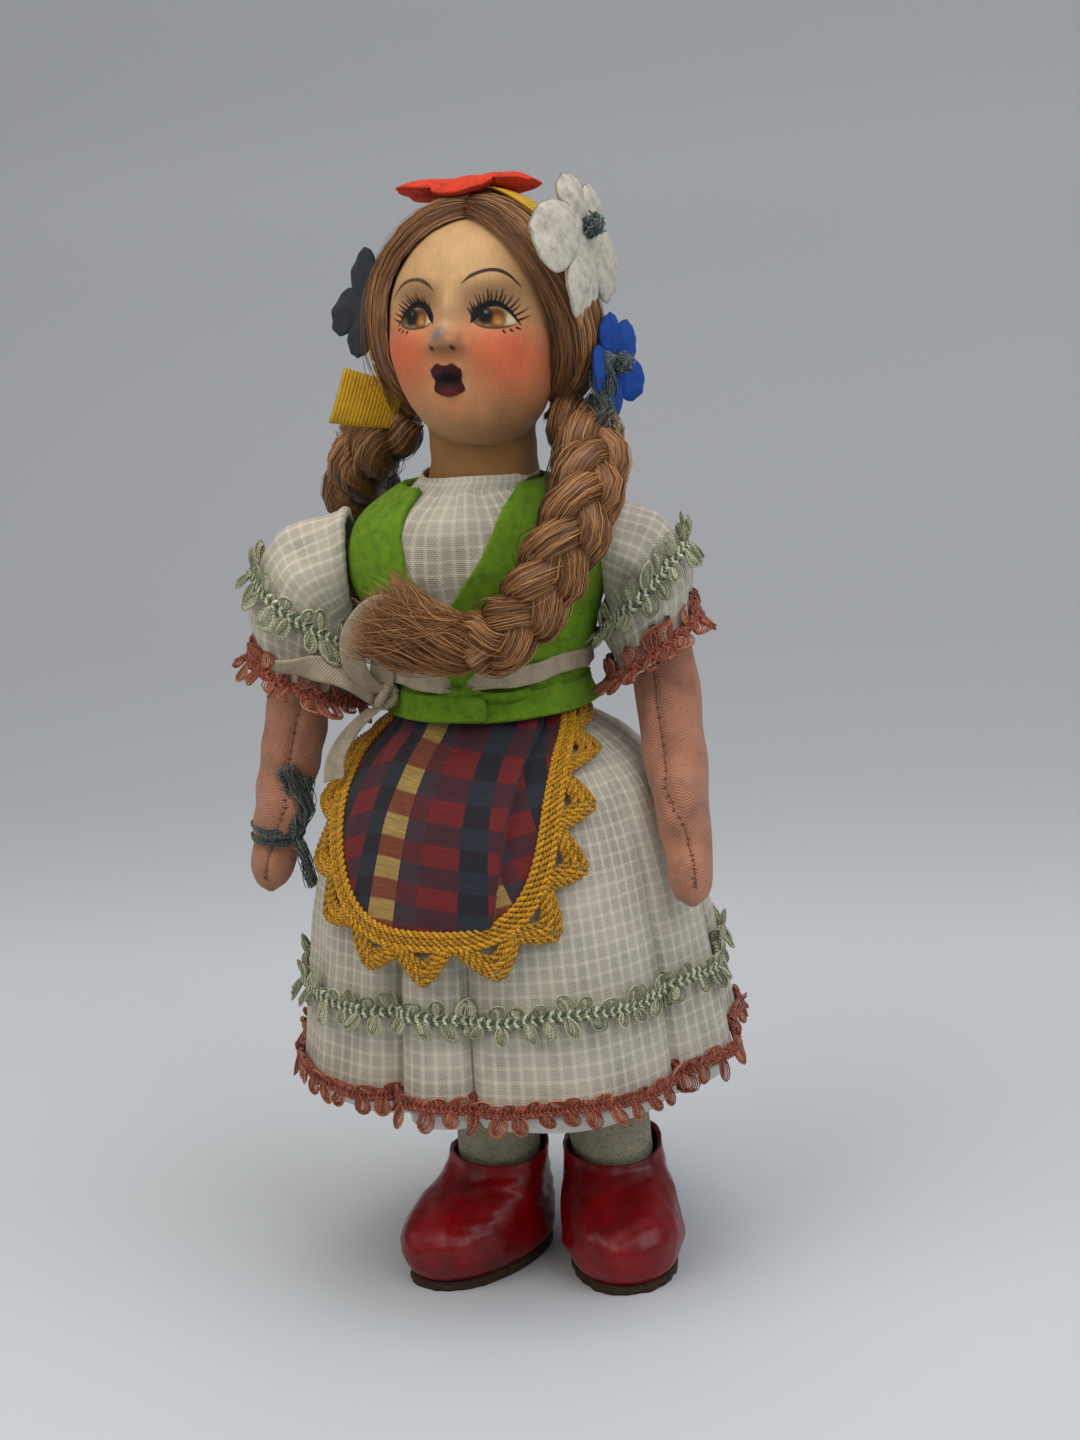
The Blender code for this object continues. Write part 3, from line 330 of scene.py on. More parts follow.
def dimity(colour, name="checked_dimity"):
    """Thin cotton dimity: a loose grey-beige ground with heavier white threads that make a soft check of
    2.3 mm, and a twill-like hatch of 0.5 mm where two layers show through each other."""
    made, tree, shader = new_material(name, 0.9, sheen=0.15)
    place = surface_place(tree, True)
    slant = add(tree, "Mapping", {"Vector": place, "Rotation": (0, 0, 0.62)})
    uneven = add(tree, "TexNoise", {"Vector": surface_place(tree, False), "Scale": 0.13, "Detail": 4.0})
    across = lines(tree, place, "X", 2.3, 0.5)
    down = lines(tree, place, "Y", 2.3, 0.5)
    hatch = lines(tree, slant, "X", 0.5, 0.9)
    fine = lines(tree, place, "Y", 0.34, 0.5)
    bars = [add(tree, "MapRange", {"Value": band.outputs["Fac"], "From Min": low, "From Max": 1.0,
                                   "To Max": high}, interpolation_type="SMOOTHSTEP")
            for band, low, high in ((across, 0.55, 1.0), (down, 0.68, 0.7))]
    check = add(tree, "Math", {0: bars[0], 1: bars[1]}, operation="MAXIMUM")
    cross = add(tree, "Math", {0: bars[0], 1: bars[1]}, operation="MULTIPLY")
    weave = add(tree, "Math", {0: hatch.outputs["Fac"], 1: fine.outputs["Fac"]}, operation="MULTIPLY")
    ground = ramp(tree, uneven, ((0.3, tone(colour, 0.50)), (0.5, tone(colour, 0.72)),
                                 (0.72, tone(colour, 0.92))))
    hatched = mixed(tree, add(tree, "Math", {0: weave, 1: 0.75}, operation="MULTIPLY"), ground,
                    tone(colour, 1.15))
    barred = mixed(tree, add(tree, "Math", {0: check, 1: 0.42}, operation="MULTIPLY"), hatched,
                   tone(colour, 1.35))
    crossed = mixed(tree, add(tree, "Math", {0: cross, 1: 0.45}, operation="MULTIPLY"), barred,
                    tone(colour, 1.55))
    height = add(tree, "Math", {0: weave, 1: check}, operation="ADD")
    give(tree, shader, crossed, height, 0.12, 0.6)
    return made


def thread_finish(name, dark, middle, light, roughness=0.5, twist=0.9, sheen=0.1, depth=0.12, speckle=0.25):
    """Twisted yarn: the tint runs from its dark to its light colour, and slanted plies, one each twist
    millimetres, show as a bump and as dark lines between them."""
    made, tree, shader = new_material(name, roughness, sheen=sheen)
    tint = add(tree, "Attribute", attribute_name="tint")
    where = add(tree, "TexCoord")
    place = surface_place(tree, True)
    slanted = add(tree, "SeparateXYZ", {0: place})
    turned = add(tree, "Math", {0: slanted.outputs[1], 1: 1 / twist}, operation="MULTIPLY")
    phase = add(tree, "Math", {0: turned, 1: slanted.outputs[0]}, operation="ADD")
    wave = add(tree, "Math", {0: add(tree, "Math", {0: phase, 1: 4 * HALF_TURN}, operation="MULTIPLY")},
               operation="SINE")
    noise = add(tree, "TexNoise", {"Vector": where.outputs["Object"], "Scale": 1400.0, "Detail": 3.0})
    shift = add(tree, "MapRange", {"Value": noise, "To Min": -speckle, "To Max": speckle})
    # Painted shade in the grooves between the plies.
    plies = add(tree, "MapRange", {"Value": wave, "From Min": -1, "From Max": 0.2, "To Min": -0.22,
                                   "To Max": 0})
    shade = add(tree, "Math", {0: tint.outputs["Fac"], 1: shift}, operation="ADD")
    shade = add(tree, "Math", {0: shade, 1: plies}, operation="ADD", use_clamp=True)
    give(tree, shader, ramp(tree, shade, ((0.0, dark), (0.5, middle), (1.0, light))), wave, depth, 0.6)
    return made


def mohair(colour, name="mohair"):
    """Mohair: long silky goat hair. The tint runs from brown to straw, and streaks as fine as its hairs run
    along every lock, as colour and as relief. Across a lock the UV map counts 20 mm as 1."""
    made, tree, shader = new_material(name, 0.44, sheen=0.04, sheen_tint="#FFD8A0")
    tint = add(tree, "Attribute", attribute_name="tint")
    where = add(tree, "TexCoord")
    fine = add(tree, "Mapping", {"Vector": where.outputs["UV"], "Scale": (85.0, 0.14, 1)})
    streak = add(tree, "TexNoise", {"Vector": fine, "Scale": 1.0, "Detail": 4.0, "Roughness": 0.65})
    broad = add(tree, "Mapping", {"Vector": where.outputs["UV"], "Scale": (11.0, 0.10, 1)})
    lock = add(tree, "TexNoise", {"Vector": broad, "Scale": 1.0, "Detail": 2.0})
    shade = add(tree, "Math", {0: add(tree, "MapRange", {"Value": streak, "From Min": 0.3, "From Max": 0.7,
                                                        "To Min": -0.26, "To Max": 0.26}),
                               1: add(tree, "MapRange", {"Value": lock, "From Min": 0.3, "From Max": 0.7,
                                                         "To Min": -0.14, "To Max": 0.14})}, operation="ADD")
    shade = add(tree, "Math", {0: tint.outputs["Fac"], 1: shade}, operation="ADD", use_clamp=True)
    pale = linear("#E8C48C")
    give(tree, shader, ramp(tree, shade, ((0.0, tone(colour, 0.10)), (0.26, tone(colour, 0.40)),
                                          (0.50, tone(colour, 1.2)), (0.74, tone(colour, 2.6, pale, 0.15)),
                                          (1.0, tone(colour, 4.0, pale, 0.4)))), streak, 0.10, 0.7)
    return made


def painted_face(name="painted_face_cloth"):
    """Pressed muslin, sized and painted: satin where the paint is thick, with its plain weave of 0.4 mm
    showing through, rubbed along the threads."""
    made, tree, shader = new_material(name, 0.62, sheen=0.05)
    shader.inputs["Specular IOR Level"].default_value = 0.2
    paint = add(tree, "Attribute", attribute_name="painted")
    place = surface_place(tree, True)
    warp = lines(tree, place, "X", 0.36, 0.8)
    weft = lines(tree, place, "Y", 0.42, 0.8)
    weave = add(tree, "Math", {0: warp.outputs["Fac"], 1: weft.outputs["Fac"]}, operation="MULTIPLY")
    rubbed = add(tree, "TexNoise", {"Vector": add(tree, "Mapping",
                                                  {"Vector": place, "Scale": (1.6, 0.25, 1)}),
                                    "Scale": 1.0, "Detail": 4.0, "Roughness": 0.65})
    grime = add(tree, "TexNoise", {"Vector": place, "Scale": 0.22, "Detail": 4.0})
    dim = add(tree, "MapRange", {"Value": rubbed, "From Min": 0.3, "From Max": 0.7, "To Min": 0.92,
                                 "To Max": 1.05})
    soiled = add(tree, "MapRange", {"Value": grime, "From Min": 0.3, "From Max": 0.7, "To Min": 0.90,
                                    "To Max": 1.04})
    level = add(tree, "Math", {0: dim, 1: soiled}, operation="MULTIPLY")
    knots = add(tree, "MapRange", {"Value": weave, "To Min": 0.93, "To Max": 1.03})
    level = add(tree, "Math", {0: level, 1: knots}, operation="MULTIPLY")
    shaded = add(tree, "VectorMath", {0: paint.outputs["Color"], 3: level}, operation="SCALE")
    give(tree, shader, shaded, weave, 0.06, 0.5)
    return made


def stockinet(name, colour, grime, pinholes):
    """Fine cotton stockinet: rows of small V stitches 0.55 mm apart, soiled in cloudy patches, and open
    enough in places for dark pinholes to show."""
    made, tree, shader = new_material(name, 0.92, sheen=0.2)
    place = surface_place(tree, True)
    wales = lines(tree, place, "X", 0.55, 0.5)
    left = lines(tree, add(tree, "Mapping", {"Vector": place, "Rotation": (0, 0, 0.5)}), "Y", 0.42, 0.8)
    right = lines(tree, add(tree, "Mapping", {"Vector": place, "Rotation": (0, 0, -0.5)}), "Y", 0.42, 0.8)
    stitches = mixed(tree, wales.outputs["Fac"], left, right)
    cloudy = add(tree, "TexNoise", {"Vector": surface_place(tree, False), "Scale": 0.16, "Detail": 5.0,
                                    "Roughness": 0.6})
    holes = add(tree, "TexNoise", {"Vector": add(tree, "Mapping", {"Vector": place, "Scale": (1.0, 0.6, 1)}),
                                   "Scale": 2.1, "Detail": 1.0})
    base = ramp(tree, cloudy, ((0.28, grime), (0.5, tone(colour, 0.92)), (0.72, tone(colour, 1.12))))
    lit = mixed(tree, 0.32, base, stitches, "OVERLAY")
    open_places = add(tree, "MapRange", {"Value": holes, "From Min": 0.66 - pinholes,
                                         "From Max": 0.74 - pinholes})
    dark = mixed(tree, add(tree, "Math", {0: open_places, 1: 0.6}, operation="MULTIPLY"), lit,
                 tone(colour, 0.28))
    give(tree, shader, dark, stitches, 0.16, 0.7)
    return made


def leathercloth(colour, name="red_leathercloth"):
    """Leathercloth: cotton coated with red nitrocellulose lacquer, glossy, dented, cracked fine and rubbed
    to a duller pink on its crests."""
    made, tree, shader = new_material(name, 0.36, coat=0.12, ior=1.38)
    place = surface_place(tree, False)
    cloudy = add(tree, "TexNoise", {"Vector": place, "Scale": 0.12, "Detail": 4.0})
    scuffs = add(tree, "TexNoise", {"Vector": place, "Scale": 0.9, "Detail": 6.0, "Roughness": 0.75,
                                    "Distortion": 0.8})
    cracks = add(tree, "TexVoronoi", {"Vector": add(tree, "Mapping",
                                                    {"Vector": place, "Scale": (1.0, 1.0, 0.5)}),
                                      "Scale": 0.8}, feature="DISTANCE_TO_EDGE")
    base = ramp(tree, cloudy, ((0.3, tone(colour, 0.38)), (0.5, tone(colour, 0.85)),
                               (0.72, tone(colour, 1.35))))
    rubbed = add(tree, "MapRange", {"Value": scuffs, "From Min": 0.62, "From Max": 0.80, "To Max": 0.55})
    worn = mixed(tree, rubbed.outputs[0], base, linear("#8A1626"))
    line = add(tree, "MapRange", {"Value": cracks, "From Max": 0.035, "To Min": 0.22, "To Max": 0.0})
    cracked = mixed(tree, line.outputs[0], worn, tone(colour, 0.15))
    rough = add(tree, "MapRange", {"Value": scuffs, "From Min": 0.4, "From Max": 0.75, "To Min": 0.22,
                                   "To Max": 0.55})
    give(tree, shader, cracked, scuffs, 0.10, 0.5, rough)
    return made


def sole_board(colour, name="brown_sole_board"):
    """Pressed brown board: layered paper fibre, scuffed pale at its edge."""
    made, tree, shader = new_material(name, 0.9)
    place = surface_place(tree, False)
    layers = add(tree, "TexNoise", {"Vector": add(tree, "Mapping",
                                                  {"Vector": place, "Scale": (0.5, 0.5, 4.0)}),
                                    "Scale": 0.8, "Detail": 5.0})
    give(tree, shader, ramp(tree, layers, ((0.3, tone(colour, 0.4)), (0.5, tone(colour)),
                                           (0.75, tone(colour, 2.6)))),
         layers, 0.3, 0.7)
    return made


def plaid(name="plaid_cotton"):
    """Yarn-dyed cotton plaid, taffeta weave of 0.3 mm. Stripes of cream, mauve, red and navy run down
    and repeat each 30 mm, crossed by slate and red stripes of 3.4 mm, so each crossing has its own mix."""
    made, tree, shader = new_material(name, 0.8, sheen=0.12)
    place = surface_place(tree, True)
    split = add(tree, "SeparateXYZ", {0: place})
    repeat = add(tree, "Math", {0: add(tree, "Math", {0: split.outputs[0], 1: 30.0}, operation="DIVIDE")},
                 operation="FRACT")
    stops = ((0.0, "C"), (0.128, "M"), (0.225, "R"), (0.40, "N"), (0.527, "R"), (0.633, "N"), (0.747, "R"),
             (0.90, "N"))
    slate = {"C": "#AA8A46", "M": "#382430", "R": "#44101C", "N": "#18202E"}
    red = {"C": "#7C3A1A", "M": "#58121A", "R": "#72060D", "N": "#120918"}
    crossed = [ramp(tree, repeat, [(at, linear(table[key])) for at, key in stops], "CONSTANT")
               for table in (slate, red)]
    weft = lines(tree, place, "Y", 6.8, 0.0)
    band = add(tree, "MapRange", {"Value": weft.outputs["Fac"], "From Min": 0.44, "From Max": 0.56})
    cloth = mixed(tree, band.outputs[0], crossed[0], crossed[1])
    warp_thread = lines(tree, place, "X", 0.32, 0.5)
    weft_thread = lines(tree, place, "Y", 0.30, 0.5)
    slub = add(tree, "TexNoise", {"Vector": add(tree, "Mapping", {"Vector": place, "Scale": (0.25, 3.2, 1)}),
                                  "Scale": 1.0, "Detail": 3.0})
    weave = add(tree, "Math", {0: warp_thread.outputs["Fac"], 1: weft_thread.outputs["Fac"]},
                operation="MULTIPLY")
    streak = add(tree, "MapRange", {"Value": slub, "From Min": 0.3, "From Max": 0.7, "To Min": 0.72,
                                    "To Max": 1.22})
    lit = add(tree, "MapRange", {"Value": weave, "To Min": 0.80, "To Max": 1.12})
    level = add(tree, "Math", {0: streak, 1: lit}, operation="MULTIPLY")
    shaded = add(tree, "VectorMath", {0: cloth, 3: level}, operation="SCALE")
    give(tree, shader, shaded, weave, 0.08, 0.5)
    return made


def ribbed(name, colour, pitch, ribs, roughness, slant=0.0):
    """Ribbon or tape with its ribs pitch millimetres apart along its length; ribs gives how dark the
    grooves are, and slant turns them, as a twill's do."""
    made, tree, shader = new_material(name, roughness, sheen=0.03)
    place = surface_place(tree, True, slant)
    rib = lines(tree, place, "Y", pitch, 0.1)
    fine = lines(tree, place, "X", pitch * 0.5, 0.3)
    worn = add(tree, "TexNoise", {"Vector": surface_place(tree, False), "Scale": 0.5, "Detail": 4.0})
    base = ramp(tree, worn, ((0.3, tone(colour, 0.8)), (0.5, tone(colour)), (0.7, tone(colour, 1.15))))
    height = add(tree, "Math", {0: rib.outputs["Fac"], 1: add(tree, "Math", {0: fine.outputs["Fac"], 1: 0.3},
                                                                operation="MULTIPLY")}, operation="ADD")
    # Painted shade in the grooves between the ribs.
    groove = add(tree, "MapRange", {"Value": height, "From Max": 0.55, "To Min": ribs, "To Max": 0.0})
    give(tree, shader, mixed(tree, groove.outputs[0], base, tone(colour, 0.3)), height, 0.12, 0.7)
    return made


def lining(colour, name="white_lining"):
    """Plain white lawn, a little yellowed: a fine even weave of 0.4 mm."""
    made, tree, shader = new_material(name, 0.9)
    place = surface_place(tree, True)
    weave = add(tree, "Math", {0: lines(tree, place, "X", 0.4, 0.4).outputs["Fac"],
                               1: lines(tree, place, "Y", 0.4, 0.4).outputs["Fac"]}, operation="MULTIPLY")
    aged = add(tree, "TexNoise", {"Vector": surface_place(tree, False), "Scale": 0.1, "Detail": 3.0})
    give(tree, shader, ramp(tree, aged, ((0.3, tone(colour, 0.75)), (0.7, tone(colour, 1.05)))),
         weave, 0.08, 0.6)
    return made


def finish(name):
    """The doll's material of this name, made when it is first asked for."""
    made = bpy.data.materials.get("doll_" + name)
    if made:
        return made
    c = bpy.context.scene.doll_colours
    if name.endswith("_felt"):
        return felt(name, getattr(c, name), {"green_felt": "#A6BC3C", "red_felt": "#FF9A70",
                                             "blue_felt": "#3C7CE0",
                                             "grey_felt": "#5A6068"}.get(name, "#FFFFFF"))
    made = {
        "checked_dimity": lambda: dimity(c.dimity),
        "white_lining": lambda: lining(c.lining),
        "mohair": lambda: mohair(c.hair),
        "painted_face_cloth": painted_face,
        "pink_stockinet": lambda: stockinet("pink_stockinet", c.arms, tone(c.arms, 0.55), 0.0),
        "cream_stockinet": lambda: stockinet("cream_stockinet", c.legs, tone(c.legs, 0.6), 0.08),
        "red_leathercloth": lambda: leathercloth(c.shoes),
        "brown_sole_board": lambda: sole_board(c.soles),
        "plaid_cotton": plaid,
        "yellow_grosgrain": lambda: ribbed("yellow_grosgrain", c.ribbon, 0.62, 0.5, 0.6),
        "beige_tape": lambda: ribbed("beige_tape", c.tape, 0.45, 0.35, 0.85, 0.6),
        "yellow_crochet_cotton": lambda: thread_finish(
            "yellow_crochet_cotton", tone(c.lace, 0.12), tone(c.lace), tone(c.lace, 1.7), 0.45, 1.0, 0.0),
        "green_cream_gimp": lambda: thread_finish(
            "green_cream_gimp", linear("#30503A"), linear("#A5A880"), linear("#F4EDD0"), 0.38, 1.2),
        "coral_gimp": lambda: thread_finish(
            "coral_gimp", linear("#5E1810"), linear("#A9502F"), linear("#E0A078"), 0.38, 1.2),
        "green_grey_wool": lambda: thread_finish(
            "green_grey_wool", linear("#27332F"), linear("#56665F"), linear("#98A29A"), 0.95, 1.6,
                                                 0.3, 0.2, 0.5),
        "red_thread": lambda: thread_finish(
            "red_thread", linear("#5A0E12"), linear("#9A1C20"), linear("#C84A48"), 0.6, 0.8),
        "brown_thread": lambda: thread_finish(
            "brown_thread", linear("#4A2A20"), linear("#7E5040"), linear("#B07A60"), 0.7, 0.8),
        "stuffed_cotton": lambda: lining(c.lining, "stuffed_cotton"),
    }[name]()
    return made


# Heights and half-sizes that the pieces share with the jointed frame, in millimetres
WAIST, TORSO_LOW, TORSO_TALL, CHEST = 106.66, 83.7, 56.0, 20.4
SHOULDER = (24.38, 0.0, 126.82)
ARMHOLE = 23.1
LEFT_HAND, RIGHT_HAND = (4.0, 19.5), (9.6, 3.0)
HIP = 77.0
HEM = 39.5
TORSO_TABLE = ((0, 0.54, 0.36), (0.05, 0.68, 0.45), (0.20, 0.66, 0.46), (0.41, 0.57, 0.42),
               (0.58, 0.80, 0.54),
               (0.74, 1.0, 0.64), (0.88, 0.94, 0.62), (0.96, 0.66, 0.53), (1.0, 0.43, 0.42))
SKIRT_TABLE = ((0, 0), (0.09, 0.05), (0.17, 0.36), (0.30, 0.62), (0.55, 0.80), (1.0, 1.0))
# Where the skirt is drawn in between two folds: degrees from the doll's left round by the back
VALLEYS = (-174, -117, -96, -36, 0, 36, 72, 106, 146)
HEAD_AT = np.array((3.0, -1.0, 166.7))
HEAD_HALF = np.array((15.2, 14.5, 18.3))
HEAD_TURNED = np.array((Matrix.Rotation(math.radians(-12), 3, "Z") @ Matrix.Rotation(math.radians(1), 3, "Y")
                        @ Matrix.Rotation(math.radians(-16), 3, "X")))


def from_head(points):
    """Points of the head's own frame, whose face looks along -Y from its centre, in the doll's."""
    return points @ HEAD_TURNED.T + HEAD_AT


def torso_halves(z):
    heights = TORSO_LOW + TORSO_TALL * smooth_line(TORSO_TABLE, 60)[:, 0]
    line = smooth_line(TORSO_TABLE, 60)
    return np.interp(z, heights, CHEST * line[:, 1]), np.interp(z, heights, CHEST * line[:, 2])


def body_points(turn, z, out):
    """A point round the torso at an angle and a height, this far out along the torso's own slope."""
    wide, deep = torso_halves(z)
    slope = (torso_halves(z + 0.3)[0] - torso_halves(z - 0.3)[0]) / 0.6
    level = 1 / np.hypot(1, slope)
    return np.stack(np.broadcast_arrays((wide + out * level) * np.cos(turn),
                                        (deep + out * level) * np.sin(turn),
                                        z - out * level * slope), axis=-1)


def skirt_points(turn, fall, out=0.0, folds=1.0, gathers=1.0):
    """The skirt: turn goes round it and fall from 0 at the waist to 1 at the hem. Its half-width follows a
    flared profile; between valleys the cloth stands out as the fourth root of a half sine, which makes
    round lobes with narrow creases; fine gathers fade below the waist."""
    turn, fall = np.broadcast_arrays(np.asarray(turn, float), np.asarray(fall, float))
    flare = read(SKIRT_TABLE, fall)
    wide, deep = (half + 1.9 for half in torso_halves(WAIST))
    edges = np.radians(np.array([*VALLEYS, VALLEYS[0] + 360]))
    at = (turn - edges[0]) % (2 * HALF_TURN) + edges[0]
    index = np.clip(np.searchsorted(edges, at, side="right") - 1, 0, len(VALLEYS) - 1)
    share = (at - edges[index]) / (edges[index + 1] - edges[index])
    lobe = np.sin(HALF_TURN * np.clip(share, 0, 1)) ** 0.42
    drawn = folds * 5.2 * fall ** 1.1 * (1 - lobe)
    ruffle = gathers * 0.45 * np.sin(turn * 52 + 3 * np.sin(turn * 5)) * np.exp(-(fall * 5) ** 1.5)
    wave = folds * 0.7 * np.sin(turn * 17 + 2 * np.sin(3 * turn) + fall * 2) * fall * (1 - fall * 0.6)
    width = wide + (39.5 - wide) * flare + out - drawn + ruffle + wave
    depth = deep + (35.5 - deep) * flare + out - drawn + ruffle + wave
    z = WAIST + (HEM - WAIST) * fall + folds * 1.2 * fall ** 3 * np.sin(turn * 2 + 0.6)
    return np.stack([width * np.cos(turn), depth * np.sin(turn), z], axis=-1)


def lengths(line):
    """The distance along a line of points at each of them, from its start."""
    return np.concatenate([[0], np.cumsum(np.linalg.norm(np.diff(line, axis=0), axis=1))])


def normals_of(points, around=False):
    """Unit normals of a grid of points, (rows, columns, 3), from its two tangents."""
    wrapped = np.concatenate([points[:, -1:], points, points[:, :1]], axis=1) if around else points
    across = np.gradient(wrapped, axis=1)[:, 1:-1] if around else np.gradient(points, axis=1)
    return unit(np.cross(np.gradient(points, axis=0), across))


def gimp(path, out, side, upper=(2.3, 0.8), lower=(2.3, 0.8), seed=1, pitch=3.9, closed=True,
         core=(0.08, 0.8)):
    """Furnishing gimp: four cords plaited flat, each swinging across as a sine and in and out as the sine
    of twice the angle, and on both edges loops of five threads, each an ellipse drawn out from the edge."""
    random = np.random.default_rng(seed)
    reach = lengths(path)
    total = reach[-1]
    count = max(2, round(total / 0.32))
    s = np.linspace(0, total, count)
    line, away, across = (np.stack([np.interp(s, reach, part[:, k]) for k in range(3)], axis=1)
                          for part in (path, out, side))
    turns = max(1, round(total / 2.9))
    cords = []
    for k in range(4):
        phase = 2 * HALF_TURN * (turns * s / total) + k * HALF_TURN / 2
        cords.append(line + across * 0.85 * np.sin(phase)[:, None]
                     + away * (0.60 + 0.28 * np.sin(2 * phase))[:, None])
    parts = [threads(np.array(cords), 0.42, 4, np.array([core[0], core[1], core[0] + 0.12, core[1] - 0.1]))]
    many = max(1, round(total / pitch))
    theta = np.linspace(0, 2 * HALF_TURN, 13)
    for way, (long, lift) in ((-1, upper), (1, lower)):
        at = (np.arange(many) + random.uniform(-0.25, 0.25, many) + 0.5 * (way > 0)) * total / many % total
        grown = long * random.uniform(0.7, 1.25, many)
        wide = random.uniform(0.55, 0.85, many)
        lean = random.uniform(-0.9, 0.9, many)
        curl = random.uniform(-0.5, 0.9, many)
        for ply in (-3, -2, -1, 0, 1, 2, 3):
            along = (wide[:, None] * (1 + 0.27 * ply) * np.sin(theta)
                     + (lean[:, None] + 0.10 * ply) * (1 - np.cos(theta)) / 2)
            stand = grown[:, None] * (1 + 0.05 * ply) * (1 - np.cos(theta)) / 2
            rise = (0.35 + lift * np.sin(theta / 2) + 0.16 * abs(ply) + 0.2 * np.sin(theta) * lean[:, None]
                    + curl[:, None] * (1 - np.cos(theta)) / 2)
            place = (at[:, None] + along) % total if closed else np.clip(at[:, None] + along, 0, total)
            base = np.stack([np.interp(place, s, line[:, k]) for k in range(3)], axis=-1)
            sides = np.stack([np.interp(place, s, across[:, k]) for k in range(3)], axis=-1)
            outs = np.stack([np.interp(place, s, away[:, k]) for k in range(3)], axis=-1)
            loops = base + sides * way * (0.5 + stand)[..., None] + outs * rise[..., None]
            shade = np.clip(random.uniform(0.5, 1.0, many) - 0.05 * abs(ply), 0, 1)
            parts.append(threads(loops, 0.175, 3, shade, 0.8))
    return parts


def closed_frame(rows):
    """The path, outward and downward directions of the middle one of three closed rings, its first point
    repeated at its end."""
    rows = np.asarray(rows)
    path = rows[1]
    down = unit(rows[2] - rows[0])
    along = unit(np.roll(path, -1, axis=0) - np.roll(path, 1, axis=0))
    out = unit(np.cross(down, along))
    return [np.vstack([part, part[:1]]) for part in (path, out, down)]


def make_skirt(sizes):
    """The skirt, its petticoat and its two rows of gimp."""
    turn = np.linspace(-HALF_TURN, HALF_TURN, 361)[:-1]
    fall = np.linspace(0, 1, 58)[:, None]
    points = skirt_points(turn, fall)
    points += (0.35 * ripple(points, 14, 3)[..., None] * np.sin(HALF_TURN * fall)[..., None]
               * normals_of(points, True))
    hem = lengths(np.vstack([points[-1], points[-1][:1]]))
    down = lengths(points[:, 60])
    uv = np.stack(np.meshgrid(hem, down), axis=-1)
    skirt = piece("skirt_cloth", grid(points, True, uv=uv), finish("checked_dimity"), "body",
                  ["skirt"], 0.4)
    turn = np.linspace(-HALF_TURN, HALF_TURN, 181)[:-1]
    fall = np.linspace(0, 1.045, 30)[:, None]
    points = skirt_points(turn, fall, -1.1 - fall * 0.6, gathers=0.5)
    hem = lengths(np.vstack([points[-1], points[-1][:1]]))
    uv = np.stack(np.meshgrid(hem, lengths(points[:, 30])), axis=-1)
    inner = piece("petticoat_cloth", grid(points, True, uv=uv), finish("white_lining"), "body",
                  ["petticoat"], 0.3)
    turn = np.linspace(-HALF_TURN, HALF_TURN, 541)[:-1]
    for name, middle, upper, lower, slot in (
            ("green", 1 - 16.2 / 67.2, (2.3, 0.9), (2.6, 1.0), "green_cream_gimp"),
            ("coral", 1 - 1.5 / 67.2, (1.3, 0.7), (3.0, 0.6), "coral_gimp")):
        path, out, down = closed_frame([skirt_points(turn, middle + shift, 0.35)
                                        for shift in (-0.02, 0, 0.02)])
        wander = 0.5 * np.sin(np.linspace(0, 2 * HALF_TURN * 9, len(path)))[:, None]
        parts = gimp(path + down * wander, out, down, upper, lower, 7 if name == "green" else 8,
                     core=(0.10, 0.85) if name == "green" else (0.22, 0.5))
        piece(f"skirt_{name}_gimp", parts, finish(slot), "body", [f"skirt_{name}_trim"])


APRON_TURN = -math.radians(108)
APRON_HALF, APRON_LONG, APRON_POWER = 18.8, 36.5, 3.2


def apron_place(across, down, out=0.0):
    """A point over the apron: across it and down from the waist in millimetres, and out from the skirt."""
    fall = down / (WAIST - HEM)
    reach = skirt_points(0.0, fall, 1.2, 0, 0)[..., 0]
    turn = APRON_TURN + (across * (1 + 0.0035 * down) + 0.06 * down) / reach
    spot = skirt_points(turn, fall, 1.2, 0, 0)
    level = np.stack([np.cos(turn), np.sin(turn), np.zeros_like(turn)], axis=-1)
    return spot + unit(level + np.array((0, 0, 0.35))) * np.asarray(out)[..., None]


def pleat_line(down):
    """Where the apron's pleat lies across it, at a depth below the waist."""
    return 15.7 - 0.17 * down


def apron_rise(across, down):
    """How far the apron stands off: the pleat's upper lip ends in a step, and soft gathers fade downward."""
    beyond = across - pleat_line(down)
    lip = 1.3 * np.exp(np.minimum(beyond, 0) / 4.5) * (1 - step(beyond, -0.05, 0.35))
    hollow = -0.35 * np.exp(-((beyond - 1.0) / 0.9) ** 2)
    gather = 0.45 * np.sin(across * 1.15 + 0.6 * np.sin(across)) * np.exp(-down / 9)
    second = 0.5 * np.exp(-((across + 12.5 - 0.25 * down) / 2.0) ** 2) * np.exp(-down / 20)
    return lip + hollow + gather + second + 0.35


def make_apron(sizes):
    """The plaid apron with its diagonal pleat, and its crocheted edging."""
    share = (1 - np.linspace(1, 0, 78) ** 1.5)[:, None] * 0.9995
    half = APRON_HALF * (1 - share ** APRON_POWER) ** (1 / APRON_POWER)
    across = half * np.linspace(-1, 1, 170)
    down = np.maximum(APRON_LONG * share + 0.3, 1.0) + 0 * across
    points = apron_place(across, down, apron_rise(across, down))
    left = across < pleat_line(down) + 0.1
    u = np.where(left, (across + 2.7 + 0.175 * (down - 3)) / (0.92 + 0.010 * down) + 1.92,
                 across - 8.8 - 0.35 * down + 11.0)
    v = np.where(left, down - 0.15 * across - 0.035 * np.minimum(0, across + 6) ** 2,
                 down + 0.22 * across + 1.0)
    cloth = piece("apron_cloth", grid(points, uv=np.stack([u, v], axis=-1)), finish("plaid_cotton"), "body",
                  ["apron"], 0.35)
    piece("apron_edging", crochet(), finish("yellow_crochet_cotton"), "body",
          ["apron_lace"])


